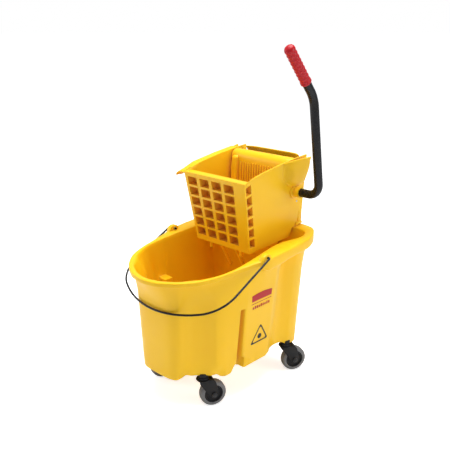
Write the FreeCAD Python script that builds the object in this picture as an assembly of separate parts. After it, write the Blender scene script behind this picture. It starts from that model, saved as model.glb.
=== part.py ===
import FreeCAD, Part

import math
import os

from FreeCAD import Vector as V

# Wheeled mop bucket with a side-press wringer.  Millimetres, +Z up, the bucket's nose
# points along -Y and the lever is on the +X side.  The plane y = 0 holds the bail's
# pivots, and the floor that the wheels stand on is z = 0.

# ---------------------------------------------------------------- driving dimensions
MIDDLE_SHIFT = 5.0          # the lever widens one side, so the bucket sits this far to -X
WALL = 4.0                  # moulded wall
RIM_Z0 = 418.6              # height of the rim at y = 0
RIM_SLOPE = 0.10            # the rim falls towards the nose
SKIRT_Z = 92.0              # lowest edge of the bucket
FLOOR_Z = 128.0             # underside of the bucket's floor
ARCH_Z = 107.0              # top of the arches over the casters
WALL_FACETS = 76
SHOULDER_Z = 315.0          # where the straight wall starts to flare into the rim
BEAD_DEPTH = 14.0           # rolled rim round the nose
BAND_DEPTH = 33.0           # deep band round the back
EAR_Z = 424.0               # bail pivot height
EAR_TOP = 434.0
EAR_OUT = 196.0
EAR_IN = 181.0
EAR_HALF = 21.0
EAR_LOW = 404.0
EAR_BEVEL = 7.0
PANEL_LOW_X = 167.0         # flat side panel, which stands out from the wall
PANEL_HIGH_X = 185.5
PANEL_TOP = 400.0
SLOT_FRONT = -109.0         # open slot between the side bulge and the flat panel
SLOT_BACK = -77.0
SLOT_IN = 136.0
SLOT_TOP = 288.0
ARCH_FRONT = 52.0           # reach of the arch over a front and a rear caster
ARCH_REAR = 78.0

WIRE_R = 3.0                # bail wire
BAIL_HALF = 203.0
BAIL_BEND = 4.6             # small bend just outside the ear
BAIL_TAIL = 8.0             # how far the wire's end passes inside the ear
CLIP_R = 5.0
BAIL_REACH = 282.0
BAIL_DROP = math.radians(27)  # the bail rests this far below the horizontal
BAIL_CORNER_R = 105.0
BAIL_NOSE_R = 300.0
RUN = 0.05                  # running clearance on a radius
REST_GAP = 0.3              # the wringer's shelf stands this far above the bucket's rim

WHEEL_R = 38.1
WHEEL_W = 26.0
HUB_R = 27.0
AXLE_R = 4.0
TRAIL = 26.7
FORK_TOP = 87.0
FORK_T = 3.0
FORK_GAP = 15.0             # half of the gap between the fork's cheeks
CROWN_R = 21.0
AXLE_HEAD_R = 7.0
AXLE_HEAD = 4.0
AXLE_END = 8.0
DISH_DEEP = 4.0             # hollow in each face of the hub
DISH_IN = 10.0
TREAD_ROUND = 5.0
BEARING_R = 15.0
BEARING_HIGH = 3.8
STEM_R = 5.5
STEM_TOP = 123.0
SOCKET_R = 9.0
BOSS_R = 15.0
BOSS_LOW = 94.0
SOCKET_LOW = 92.0
SOCKET_TOP = 126.0
# name, stem x, stem y, and the way the caster trails at rest, in degrees from +X
CASTERS = [
    ("front_right", 105.6, -161.0, 64.0),
    ("front_left", -105.6, -161.0, 80.0),
    ("rear_right", 148.6, 150.0, 61.5),
    ("rear_left", -148.6, 150.0, 70.0),
]

SHAFT_Y = 214.0             # lever shaft
SHAFT_Z = 555.0
TUBE_R = 12.5
TUBE_WALL = 2.0
SHAFT_END = -133.0
BUSH_R = 16.0
BUSH_IN = 112.0
BUSH_OUT = 139.0
PLUG_FACE = -139.3
LEVER_X = 204.0
LEVER_LEAN = math.radians(9.15)
GRIP_LEAN = math.radians(40.7)
ELBOW_R = 38.0
KNEE_R = 90.0
KNEE = V(LEVER_X, 168.5, 837.8)
GRIP_R = 16.0
GRIP_LONG = 118.0
LEVER_TIP = V(LEVER_X, 55.0, 970.0)

MODULE = 4.0
TEETH = 18
PITCH_R = MODULE * TEETH / 2
GEAR_IN = 86.0              # inner face of a pinion, either side of the middle
GEAR_W = 14.0
BACKLASH = 0.35
PIN_R = 2.5                 # cross pin that keys a pinion to the shaft
PIN_X = GEAR_IN - 6
PIN_HALF = 22.0
GEAR_HUB_R = 20.0
RACK_BACK = SHAFT_Y + 56
RACK_HIGH = 14.0

LOW_Z = 400.0               # lower and upper sections of the wringer's tapered box
HIGH_Z = 680.0
LOW_HALF = 105.6
HIGH_HALF = 123.3
LOW_FRONT = 27.1
HIGH_FRONT = -23.1
HOUSING_BACK = 258.0
FRONT_THICK = 30.0          # depth of the waffle front
SIDE_T = 5.0
GRATE_Z = 416.0
PLATE_FRONT = 182.0
PLATE_T = 10.0
PLATE_LOW = 430.0
PLATE_HIGH = 644.0
LIP_DEEP = 20.0             # lip behind the press plate's top edge
PLATE_RIBS = 9
WAFFLE_COLS = 4
WAFFLE_ROWS = 6
WAFFLE_LOW = 414.0
WAFFLE_TOP = 600.0
WAFFLE_RIB = 7.0
WAFFLE_DEEP = 24.0
PEG_X = 60.0                # pegs and struts under the wringer's front wall
PEG_Y = 42.0
PEG_R = 6.0
STRUT_IN = 26.0
STRUT_OUT = 32.0
TONGUE_HALF = 60.0          # tongue that hangs inside the bucket's back wall
TONGUE_LOW = 365.0
SHELF_HALF = 106.0
WING_IN = 108.0
WING_OUT = 138.0
FLANGE_OUT = 148.0          # rolled flange along the top of the left side
COVER_HALF = 104.0
SCREW_R = 4.0
LABEL_T = 0.8


def rim_z(y):
    return RIM_Z0 + RIM_SLOPE * y


# ---------------------------------------------------------------- small helpers
def mirrored(shape):
    return shape.mirror(V(0, 0, 0), V(1, 0, 0))


def both_sides(shape):
    return [shape, mirrored(shape)]


def box(x0, x1, y0, y1, z0, z1):
    return Part.makeBox(x1 - x0, y1 - y0, z1 - z0, V(x0, y0, z0))


def rod(radius, start, end):
    along = end - start
    return Part.makeCylinder(radius, along.Length, start, along)


def tube(outer, inner, start, end):
    along = (end - start).normalize()
    return rod(outer, start, end).cut(rod(inner, start - along, end + along))


def yz_prism(points, x0, x1):
    """A closed outline in the Y-Z plane, pulled along X."""
    corners = [V(x0, y, z) for y, z in points]
    wire = Part.makePolygon(corners + corners[:1])
    return Part.Face(wire).extrude(V(x1 - x0, 0, 0))


def rect_wire(x0, x1, y0, y1, z):
    corners = [V(x0, y0, z), V(x1, y0, z), V(x1, y1, z), V(x0, y1, z)]
    return Part.makePolygon(corners + corners[:1])


def export(node, shape):
    moved = shape.copy()
    moved.translate(V(-MIDDLE_SHIFT, 0, 0))
    moved.exportStep("parts/" + node + ".step")
    print(node, "solids", len(moved.Solids), "valid", moved.isValid(), "cc", round(moved.Volume / 1000, 1))


# ---------------------------------------------------------------- bucket
# Stations of the outside wall, nose first, for one half; the other half is its mirror.
# The wall bulges at the nose, goes in over each caster and bulges again beside it.
SKIRT_LINE = [
    (0, -238), (40, -236.5), (66, -229), (78, -213), (84, -197), (108, -176), (130, -154),
    (144, -128), (152, -100), (154, -70), (150, -30), (146, 20), (143, 70), (146, 110),
    (156, 140), (160, 165), (150, 192), (125, 205), (60, 207), (0, 207),
]
SHOULDER_LINE = [
    (0, -246), (43, -243.5), (70, -235), (88, -220), (100, -205), (119, -187), (139, -163),
    (152, -137), (160, -106), (162, -72), (158, -30), (153, 20), (149, 70), (152, 110),
    (163, 140), (169, 165), (162, 195), (138, 214), (70, 219), (0, 219),
]
RIM_LINE = [
    (0, -273), (40, -265), (68, -253), (90, -240), (104, -228), (120, -213), (136, -193),
    (149, -166), (158, -132), (164, -80), (161, -29), (155, 20), (151, 77), (154, 109),
    (165, 139), (175, 170), (170, 200), (145, 220), (75, 226), (0, 226),
]


def closed_half(half):
    return half + [(-x, y) for x, y in reversed(half[1:-1])]


def inset(half, distance):
    """The same stations moved inwards, square to the line through their neighbours."""
    ring = closed_half(half)
    moved = []
    for i in range(len(half)):
        before, after = ring[i - 1], ring[(i + 1) % len(ring)]
        dx, dy = after[0] - before[0], after[1] - before[1]
        size = math.hypot(dx, dy)
        x = half[i][0] - distance * dy / size
        y = half[i][1] + distance * dx / size
        moved.append((0 if i in (0, len(half) - 1) else x, y))
    return moved


def smooth_wire(half, height):
    """A fine polygon along the smooth closed curve through the stations."""
    curve = Part.BSplineCurve()
    curve.interpolate(Points=[V(x, y, 0) for x, y in closed_half(half)], PeriodicFlag=True)
    step = (curve.LastParameter - curve.FirstParameter) / WALL_FACETS
    flat = [curve.value(curve.FirstParameter + step * i) for i in range(WALL_FACETS)]
    points = [V(p.x, p.y, height(p.y)) for p in flat]
    return Part.makePolygon(points + points[:1])


def blend_half(low, high, t):
    return [(a[0] + (b[0] - a[0]) * t, a[1] + (b[1] - a[1]) * t) for a, b in zip(low, high)]


def tub(distance, low_z, extra_top):
    """The wall's outline, moved inwards by distance, lofted from low_z to the rim."""
    t = (low_z - SKIRT_Z) / (SHOULDER_Z - SKIRT_Z)
    low = blend_half(inset(SKIRT_LINE, distance), inset(SHOULDER_LINE, distance), t)
    wires = [
        smooth_wire(low, lambda y: low_z),
        smooth_wire(inset(SHOULDER_LINE, distance), lambda y: SHOULDER_Z),
        smooth_wire(inset(RIM_LINE, distance), lambda y: rim_z(y) + extra_top),
    ]
    return Part.makeLoft(wires, True, True)


def rim_plan(less):
    """Outer edge of the rim seen from above, moved inwards by less, as a tall prism."""
    nose = Part.Ellipse(V(0, -80 - (201.5 - less), 0), V(174 - less, -80, 0), V(0, -80, 0))
    right, left = V(174 - less, -80, 0), V(-174 + less, -80, 0)
    front = Part.ArcOfEllipse(nose, nose.parameter(left), nose.parameter(right)).toShape()
    side = 201 - less
    back = 263 - less
    turn = V(187 - less, 225 - less, 0)
    points = [right, V(side, 2, 0), V(side, 157, 0)]
    edges = [front, Part.makeLine(points[0], points[1]), Part.makeLine(points[1], points[2])]
    edges.append(Part.Arc(points[2], turn, V(140, back, 0)).toShape())
    edges.append(Part.makeLine(V(140, back, 0), V(-140, back, 0)))
    edges.append(Part.Arc(V(-140, back, 0), V(-turn.x, turn.y, 0), V(-side, 157, 0)).toShape())
    edges.append(Part.makeLine(V(-side, 157, 0), V(-side, 2, 0)))
    edges.append(Part.makeLine(V(-side, 2, 0), left))
    face = Part.Face(Part.Wire(Part.__sortEdges__(edges)))
    return face.extrude(V(0, 0, 600))


def slab(y0, y1, below0, below1):
    """Everything between two depths below the sloping rim."""
    points = [
        (y0, rim_z(y0) - below1), (y1, rim_z(y1) - below1),
        (y1, rim_z(y1) - below0), (y0, rim_z(y0) - below0),
    ]
    return yz_prism(points, -230, 230)


def ear():
    shoulder = EAR_TOP - EAR_BEVEL
    top_half = EAR_HALF - EAR_BEVEL
    outline = [(-EAR_HALF - 8, EAR_LOW), (EAR_HALF, EAR_LOW), (EAR_HALF, shoulder), (top_half, EAR_TOP),
               (-top_half, EAR_TOP), (-EAR_HALF, shoulder)]
    plate = yz_prism(outline, EAR_IN, EAR_OUT)
    hole = rod(WIRE_R + RUN, V(EAR_IN - 1, 0, EAR_Z), V(EAR_OUT + 1, 0, EAR_Z))
    return plate, hole


def panel_block(less, low_z):
    drop = (low_z - SKIRT_Z) / (PANEL_TOP - SKIRT_Z) * (PANEL_HIGH_X - PANEL_LOW_X)
    low = rect_wire(130, PANEL_LOW_X + drop - less, -75 + less, 52 - less, low_z)
    high = rect_wire(130, PANEL_HIGH_X - less, -77 + less, 62 - less, PANEL_TOP - less)
    return Part.makeLoft([low, high], True, True)


def bucket_shell():
    body = tub(0, SKIRT_Z, -2.0)
    for block in both_sides(panel_block(0, SKIRT_Z).cut(panel_block(WALL, SKIRT_Z - 1))):
        body = body.fuse(block)
    plan = rim_plan(0)
    body = body.fuse(plan.common(slab(-300, 4, 0, BEAD_DEPTH)))
    band = plan.common(slab(2, 270, 0, BAND_DEPTH))
    band = band.cut(rim_plan(WALL).common(slab(6, 270, WALL, BAND_DEPTH + 1)))
    body = body.fuse(band)
    plate, hole = ear()
    for piece in both_sides(plate):
        body = body.fuse(piece)

    # slot between the side bulge and the flat panel
    slot_wall = box(SLOT_IN - WALL, 190, SLOT_FRONT - WALL, SLOT_BACK + WALL, SKIRT_Z, SLOT_TOP + WALL)
    slot = box(SLOT_IN, 220, SLOT_FRONT, SLOT_BACK, SKIRT_Z - 1, SLOT_TOP)
    inside = tub(WALL, FLOOR_Z + WALL, 1.0)
    under = tub(WALL, SKIRT_Z - 1, 0).common(box(-300, 300, -300, 300, SKIRT_Z - 2, FLOOR_Z))
    for block in both_sides(slot_wall):
        inside = inside.cut(block)
        under = under.cut(block)
    for name, x, y, turn in CASTERS:
        boss = Part.makeCylinder(BOSS_R, 60, V(x, y, SKIRT_Z - 2))
        under = under.cut(boss)
    body = body.cut(inside).cut(under)
    for cut in both_sides(slot) + both_sides(hole):
        body = body.cut(cut)

    # arches over the casters, then the bosses that hold their sockets
    for name, x, y, turn in CASTERS:
        reach = ARCH_FRONT if y < 0 else ARCH_REAR
        arch = Part.makeCylinder(reach, ARCH_Z - SKIRT_Z + 2, V(x, y, SKIRT_Z - 2))
        body = body.cut(arch)
    for name, x, y, turn in CASTERS:
        body = body.fuse(Part.makeCylinder(BOSS_R, FLOOR_Z + 1 - BOSS_LOW, V(x, y, BOSS_LOW)))
    for name, x, y, turn in CASTERS:
        body = body.cut(Part.makeCylinder(SOCKET_R, SOCKET_TOP - BOSS_LOW + 1, V(x, y, BOSS_LOW - 1)))
    return body.removeSplitter()


# ---------------------------------------------------------------- bail
def bail_point(x, reach):
    """A point in the bail's own plane, hung at its rest angle."""
    return V(x, -reach * math.cos(BAIL_DROP), EAR_Z - reach * math.sin(BAIL_DROP))


def bail_wire():
    nose_centre = BAIL_REACH - BAIL_NOSE_R
    corner_x = BAIL_HALF - BAIL_CORNER_R
    rise = math.sqrt((BAIL_NOSE_R - BAIL_CORNER_R) ** 2 - corner_x ** 2)
    corner_reach = nose_centre + rise
    join = math.atan2(corner_x, rise)       # where corner and nose arcs meet
    half = (math.pi / 2 + join) / 2

    def on_corner(side, turn):
        x = corner_x + BAIL_CORNER_R * math.sin(turn)
        return bail_point(side * x, corner_reach + BAIL_CORNER_R * math.cos(turn))

    bend = BAIL_BEND
    inner = EAR_IN - BAIL_TAIL
    edges = []
    for side in (1, -1):
        a = bail_point(side * inner, 0)
        b = bail_point(side * (BAIL_HALF - bend), 0)
        turn = math.radians(45)
        c = bail_point(side * (BAIL_HALF - bend + bend * math.sin(turn)), bend - bend * math.cos(turn))
        d = bail_point(side * BAIL_HALF, bend)
        e = on_corner(side, math.pi / 2)
        f = on_corner(side, join)
        edges += [Part.makeLine(a, b), Part.Arc(b, c, d).toShape(), Part.makeLine(d, e)]
        edges.append(Part.Arc(e, on_corner(side, half), f).toShape())
    left, right = on_corner(-1, join), on_corner(1, join)
    edges.append(Part.Arc(left, bail_point(0, BAIL_REACH), right).toShape())
    path = Part.Wire(Part.__sortEdges__(edges))
    start = path.OrderedVertexes[0].Point
    circle = Part.Wire(Part.makeCircle(WIRE_R, start, V(1, 0, 0)))
    return path.makePipeShell([circle], True, True)


def bail_clips():
    clip = tube(CLIP_R, WIRE_R, V(EAR_IN - 4.5, 0, EAR_Z), V(EAR_IN - 0.5, 0, EAR_Z))
    return Part.makeCompound(both_sides(clip))


# ---------------------------------------------------------------- casters
def placed(shape, x, y, turn):
    moved = shape.copy()
    moved.rotate(V(0, 0, 0), V(0, 0, 1), turn)
    moved.translate(V(x, y, 0))
    return moved


def socket():
    sleeve = Part.makeCylinder(SOCKET_R, SOCKET_TOP - SOCKET_LOW, V(0, 0, SOCKET_LOW))
    flange = Part.makeCylinder(BOSS_R - 2, 2.5, V(0, 0, BOSS_LOW - 2.5))
    return sleeve.fuse(flange).cut(Part.makeCylinder(STEM_R + RUN, 50, V(0, 0, 80)))


def fork():
    """Built trailing along +X: a round crown and two cheeks that reach down to the axle."""
    crown = Part.makeCylinder(CROWN_R, FORK_T, V(0, 0, FORK_TOP - FORK_T))
    bridge = box(-4, 24, -FORK_GAP - FORK_T, FORK_GAP + FORK_T, FORK_TOP - FORK_T, FORK_TOP)
    shape = crown.fuse(bridge)
    outline = [(-15, FORK_TOP), (24, FORK_TOP), (33, 76), (38.5, 40), (28, 27), (15, 36), (-2, 60),
               (-15, 78)]
    for side in (-1, 1):
        y0 = FORK_GAP if side > 0 else -FORK_GAP - FORK_T
        corners = [V(x, y0, z) for x, z in outline]
        cheek = Part.Face(Part.makePolygon(corners + corners[:1])).extrude(V(0, FORK_T, 0))
        shape = shape.fuse(cheek)
    wheel_room = Part.makeCylinder(WHEEL_R + 2, 2 * FORK_GAP, V(TRAIL, -FORK_GAP, WHEEL_R), V(0, 1, 0))
    shape = shape.cut(wheel_room)
    shape = shape.cut(rod(AXLE_R, V(TRAIL, -40, WHEEL_R), V(TRAIL, 40, WHEEL_R)))
    return shape.cut(Part.makeCylinder(STEM_R, 20, V(0, 0, FORK_TOP - 15))).removeSplitter()


def stem():
    post = Part.makeCylinder(STEM_R, STEM_TOP - 80, V(0, 0, 80))
    return post.fuse(Part.makeCylinder(9, 4, V(0, 0, FORK_TOP - FORK_T - 4)))


def bearing():
    ring = Part.makeCylinder(BEARING_R, BEARING_HIGH, V(0, 0, FORK_TOP))
    return ring.cut(Part.makeCylinder(STEM_R, 20, V(0, 0, 80)))


def axle():
    reach = FORK_GAP + AXLE_END
    shape = rod(AXLE_R, V(TRAIL, -reach, WHEEL_R), V(TRAIL, reach, WHEEL_R))
    for side in (-1, 1):
        start = V(TRAIL, side * (FORK_GAP + FORK_T), WHEEL_R)
        shape = shape.fuse(rod(AXLE_HEAD_R, start, start + V(0, side * AXLE_HEAD, 0)))
    return shape.removeSplitter()


def wheel_hub():
    half = WHEEL_W / 2 - 1
    centre = V(TRAIL, 0, WHEEL_R)
    across = V(0, half, 0)
    hub = rod(HUB_R, centre - across, centre + across)
    for side in (-1, 1):
        dish = centre + V(0, side * (half - DISH_DEEP), 0)
        hub = hub.cut(tube(HUB_R - WALL, DISH_IN, dish, dish + V(0, side * (DISH_DEEP + 2), 0)))
    return hub.cut(rod(AXLE_R + RUN, centre - across * 2, centre + across * 2))


def wheel_tread():
    half = WHEEL_W / 2
    centre = V(TRAIL, 0, WHEEL_R)
    ring = tube(WHEEL_R, HUB_R, centre - V(0, half, 0), centre + V(0, half, 0))
    corners = [e for e in ring.Edges if isinstance(e.Curve, Part.Circle) and e.Curve.Radius > HUB_R + 1]
    return ring.makeFillet(TREAD_ROUND, corners)


# ---------------------------------------------------------------- wringer
def lerp(low, high, z):
    return low + (high - low) * (z - LOW_Z) / (HIGH_Z - LOW_Z)


def front_y(z):
    return lerp(LOW_FRONT, HIGH_FRONT, z)


def half_x(z):
    return lerp(LOW_HALF, HIGH_HALF, z)


def tapered(front_in, side_in, back_y):
    wires = []
    for z in (LOW_Z - 20, HIGH_Z + 20):
        half = half_x(z) - side_in
        wires.append(rect_wire(-half, half, front_y(z) + front_in, back_y, z))
    return Part.makeLoft(wires, True, True)


SIDE_TOP = [(-60, 612.5), (-11, 612.5), (12, 620), (51, 634), (137, 647.5), (215, 657), (270, 661)]
SIDE_LOW = [(270, rim_z(270) + REST_GAP), (214, rim_z(214) + REST_GAP), (205, 414), (26, 405), (-60, 405)]


def waffle_cell(x, z, wide, high, deep):
    """One open cell of the front, square to the leaning face and tapered inwards."""
    y = front_y(z)
    wires = []
    for step, narrow in ((-4, -0.5), (deep, 2.0)):
        w, h = wide / 2 - narrow, high / 2 - narrow
        corners = [V(x - w, y + step, z - h), V(x + w, y + step, z - h),
                   V(x + w, y + step, z + h), V(x - w, y + step, z + h)]
        wires.append(Part.makePolygon(corners + corners[:1]))
    return Part.makeLoft(wires, True, True)


def waffle_cells():
    cells = []
    pitch_z = (WAFFLE_TOP - WAFFLE_LOW) / WAFFLE_ROWS
    for row in range(WAFFLE_ROWS):
        z = WAFFLE_LOW + pitch_z * (row + 0.5)
        reach = half_x(z) - 22
        pitch_x = 2 * reach / WAFFLE_COLS
        for col in range(WAFFLE_COLS):
            x = -reach + pitch_x * (col + 0.5)
            cells.append(waffle_cell(x, z, pitch_x - WAFFLE_RIB, pitch_z - WAFFLE_RIB, WAFFLE_DEEP))
        y = front_y(z)
        high = pitch_z / 2 - 4
        notch = box(half_x(z) - 14, half_x(z) + 20, y + 7, y + WAFFLE_DEEP, z - high, z + high)
        cells += both_sides(notch)
    return cells


def wringer_housing():
    outside = tapered(0, 0, HOUSING_BACK).common(yz_prism(SIDE_TOP + SIDE_LOW, -150, 150))
    room = tapered(FRONT_THICK, SIDE_T, HOUSING_BACK + 10)
    shape = outside.cut(room)
    for cell in waffle_cells():
        shape = shape.cut(cell)
    # ledges under the drain grate, and pegs and sloping struts under the front wall
    for ledge in both_sides(box(92, 102.5, 52, 204, GRATE_Z - 5, GRATE_Z)):
        shape = shape.fuse(ledge)
    shape = shape.fuse(box(-104, 104, 40, 56, 405, GRATE_Z))
    peg = rod(PEG_R, V(PEG_X, PEG_Y, 384), V(PEG_X, PEG_Y, 408))
    strut = yz_prism([(40, 408), (52, 408), (100, 324), (91, 318)], STRUT_IN, STRUT_OUT)
    for piece in both_sides(peg) + both_sides(strut):
        shape = shape.fuse(piece)
    # a shelf that rests on the bucket's back flange, and a tongue inside its back wall
    front, back, top = 203, HOUSING_BACK, rim_z(203) + 18
    shelf = [(front, rim_z(front) + REST_GAP), (back, rim_z(back) + REST_GAP), (back, top), (front, top)]
    shape = shape.fuse(yz_prism(shelf, -SHELF_HALF, SHELF_HALF))
    shape = shape.fuse(box(-TONGUE_HALF, TONGUE_HALF, front + 2, front + 10, TONGUE_LOW, top - 8))
    # wings beside the lever pivot and the bosses for its bushes
    wing_line = [(176, 560), (176, 640), (200, 652), (256, 657), (258, 600), (252, 575), (230, 571)]
    wing = yz_prism(wing_line, WING_IN, WING_OUT)
    boss = rod(BUSH_R + 5, V(WING_IN, SHAFT_Y, SHAFT_Z), V(WING_OUT - 1, SHAFT_Y, SHAFT_Z))
    for piece in both_sides(wing.fuse(boss).cut(room)):
        shape = shape.fuse(piece)
    bore = rod(BUSH_R, V(90, SHAFT_Y, SHAFT_Z), V(150, SHAFT_Y, SHAFT_Z))
    for cut in both_sides(bore):
        shape = shape.cut(cut)
    # rolled flange along the top of the left side
    top = SIDE_TOP[1:6]
    under = [(y, z - WALL) for y, z in reversed(top)]
    hook = [(215, 648), (137, 632), (51, 612), (12, 596), (-11, 590)]
    flange = yz_prism(top + under, -FLANGE_OUT, -BUSH_IN)
    curl = yz_prism(top + hook, -FLANGE_OUT, -FLANGE_OUT + WALL)
    shape = shape.fuse(flange.cut(room)).fuse(curl)
    return shape.removeSplitter()


COVER_LINE = [(258, 447), (262, 500), (265, 522), (275, 548), (281, 572), (279, 596), (272, 620),
              (265, 645), (260, 660)]


def cover_y(z):
    """Outside of the rear cover at a height."""
    for (y0, z0), (y1, z1) in zip(COVER_LINE, COVER_LINE[1:]):
        if z0 <= z <= z1:
            return y0 + (y1 - y0) * (z - z0) / (z1 - z0)
    raise ValueError(z)


def rear_cover():
    """Bulged back that covers the gears and gives the racks room behind the shaft."""
    outer = COVER_LINE + [(250, 660), (250, 447)]
    inner = [(y - WALL, z) for y, z in COVER_LINE]
    hollow = [(240, 440)] + [(inner[0][0], 440)] + inner[:-1] + [(inner[-1][0], 656), (240, 656)]
    half = COVER_HALF
    shell = yz_prism(outer, -half, half).cut(yz_prism(hollow, -half + WALL, half - WALL))
    shell = shell.cut(box(-120, 120, 200, 258.2, 400, rim_z(258) + 13))
    return shell.cut(box(-half - 1, half + 1, 200, 250, 400, 700)).removeSplitter()


def drain_grate():
    plate = box(-98, 98, 58, 203, GRATE_Z, GRATE_Z + 4)
    for row in range(6):
        for col in range(9):
            x = -80 + 20 * col
            y = 72 + 22 * row
            plate = plate.cut(box(x - 6, x + 6, y - 7, y + 7, GRATE_Z - 1, GRATE_Z + 5))
    return plate


def guide_rail():
    return box(84, 94, 60, 202, GRATE_Z + 4, PLATE_LOW - 0.5)


def shaft_bush():
    return tube(BUSH_R, TUBE_R + RUN, V(BUSH_IN, SHAFT_Y, SHAFT_Z), V(BUSH_OUT, SHAFT_Y, SHAFT_Z))


# ---------------------------------------------------------------- press plate and racks
def press_plate():
    back = PLATE_FRONT + PLATE_T
    low, high = half_x(PLATE_LOW) - SIDE_T - 3, half_x(PLATE_HIGH) - SIDE_T - 3
    corners = [V(-low, PLATE_FRONT, PLATE_LOW), V(low, PLATE_FRONT, PLATE_LOW),
               V(high, PLATE_FRONT, PLATE_HIGH), V(-high, PLATE_FRONT, PLATE_HIGH)]
    plate = Part.Face(Part.makePolygon(corners + corners[:1])).extrude(V(0, PLATE_T, 0))
    lip = box(-high, high, PLATE_FRONT, back + LIP_DEEP, PLATE_HIGH, PLATE_HIGH + 5)
    plate = plate.fuse(lip)
    slot = box(GEAR_IN - 2, GEAR_IN + GEAR_W + 2, PLATE_FRONT - 6, back + 1,
               SHAFT_Z - PITCH_R - 8, SHAFT_Z + PITCH_R + 7)
    for cut in both_sides(slot):
        plate = plate.cut(cut)
    for i in range(PLATE_RIBS):
        x = 15 * (i - (PLATE_RIBS - 1) / 2)
        plate = plate.fuse(box(x - 2, x + 2, PLATE_FRONT - 5, PLATE_FRONT, PLATE_LOW + 8, PLATE_HIGH - 10))
    return plate.removeSplitter()


def rack():
    """Teeth point down and mesh with the top of the pinion."""
    pitch = math.pi * MODULE
    pitch_z = SHAFT_Z + PITCH_R
    x0, x1 = GEAR_IN + 1, GEAR_IN + GEAR_W - 1
    y0 = PLATE_FRONT + PLATE_T
    root = pitch_z + 1.25 * MODULE
    body = box(x0, x1, y0, RACK_BACK, root, root + RACK_HIGH)
    lean = math.tan(math.radians(20))
    first = math.ceil((y0 + 3 - SHAFT_Y) / pitch - 0.5)
    last = math.floor((RACK_BACK - 3 - SHAFT_Y) / pitch - 0.5)
    for i in range(first, last + 1):
        middle = SHAFT_Y + (i + 0.5) * pitch
        at_root = pitch / 4 - BACKLASH + 1.25 * MODULE * lean
        at_tip = pitch / 4 - BACKLASH - MODULE * lean
        tooth = yz_prism([(middle - at_root, root), (middle + at_root, root),
                          (middle + at_tip, pitch_z - MODULE), (middle - at_tip, pitch_z - MODULE)], x0, x1)
        body = body.fuse(tooth)
    return body.removeSplitter()


def involute(base_r, radius):
    """Polar angle gained by an involute from its base circle to a radius."""
    if radius <= base_r:
        return 0.0
    turn = math.sqrt((radius / base_r) ** 2 - 1)
    return turn - math.atan(turn)


def pinion():
    """A tooth stands straight up at rest, between two rack teeth."""
    root_r, tip_r = PITCH_R - 1.25 * MODULE, PITCH_R + MODULE - 0.2
    base_r = PITCH_R * math.cos(math.radians(20))
    half_pitch = math.pi / 2 / TEETH - BACKLASH / PITCH_R
    radii = [root_r, base_r + 0.3, PITCH_R, tip_r]
    outline = []
    for i in range(TEETH):
        centre = math.pi / 2 + 2 * math.pi * i / TEETH
        flank = []
        for radius in radii:
            half = half_pitch + involute(base_r, PITCH_R) - involute(base_r, radius)
            flank.append((radius, half))
        for radius, half in flank:
            outline.append((radius, centre - half))
        for radius, half in reversed(flank):
            outline.append((radius, centre + half))
    points = [(SHAFT_Y + r * math.cos(a), SHAFT_Z + r * math.sin(a)) for r, a in outline]
    gear = yz_prism(points, GEAR_IN, GEAR_IN + GEAR_W)
    hub = rod(GEAR_HUB_R, V(GEAR_IN - 12, SHAFT_Y, SHAFT_Z), V(GEAR_IN + 1, SHAFT_Y, SHAFT_Z))
    gear = gear.fuse(hub)
    gear = gear.cut(rod(TUBE_R, V(60, SHAFT_Y, SHAFT_Z), V(120, SHAFT_Y, SHAFT_Z)))
    return gear.cut(cross_pin(PIN_X, PIN_HALF + 8)).removeSplitter()


def cross_pin(x, half):
    return rod(PIN_R, V(x, SHAFT_Y, SHAFT_Z - half), V(x, SHAFT_Y, SHAFT_Z + half))


def gear_pins():
    return Part.makeCompound(both_sides(cross_pin(PIN_X, PIN_HALF)))


# ---------------------------------------------------------------- lever
def lever_path(tip_short):
    up = V(0, -math.sin(LEVER_LEAN), math.cos(LEVER_LEAN))
    out = V(0, -math.sin(GRIP_LEAN), math.cos(GRIP_LEAN))
    corner = V(LEVER_X, SHAFT_Y, SHAFT_Z)
    start = V(SHAFT_END, SHAFT_Y, SHAFT_Z)
    a = corner - V(ELBOW_R, 0, 0)
    b = corner + up * ELBOW_R
    centre = a + up * ELBOW_R
    mid = centre + (V(1, 0, 0) - up).normalize() * ELBOW_R
    back = KNEE_R * math.tan((GRIP_LEAN - LEVER_LEAN) / 2)
    c = KNEE - up * back
    d = KNEE + out * back
    inward = V(0, -math.cos(LEVER_LEAN), -math.sin(LEVER_LEAN))
    knee_centre = c + inward * KNEE_R
    knee_mid = knee_centre + (KNEE - knee_centre).normalize() * KNEE_R
    tip = LEVER_TIP - out * tip_short
    edges = [Part.makeLine(start, a), Part.Arc(a, mid, b).toShape(), Part.makeLine(b, c),
             Part.Arc(c, knee_mid, d).toShape(), Part.makeLine(d, tip)]
    return Part.Wire(edges), start


def swept(radius, path, start):
    circle = Part.Wire(Part.makeCircle(radius, start, V(1, 0, 0)))
    return path.makePipeShell([circle], True, True)


def lever_tube():
    path, start = lever_path(6)
    shape = swept(TUBE_R, path, start).cut(swept(TUBE_R - TUBE_WALL, path, start))
    for x in (PIN_X, -PIN_X):
        shape = shape.cut(cross_pin(x, PIN_HALF + 8))
    return shape


def lever_grip():
    out = V(0, -math.sin(GRIP_LEAN), math.cos(GRIP_LEAN))
    tip = LEVER_TIP
    sleeve = rod(GRIP_R, tip - out * GRIP_LONG, tip)
    hollow = rod(TUBE_R, tip - out * (GRIP_LONG + 1), tip - out * 6)
    return sleeve.cut(hollow)


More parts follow.
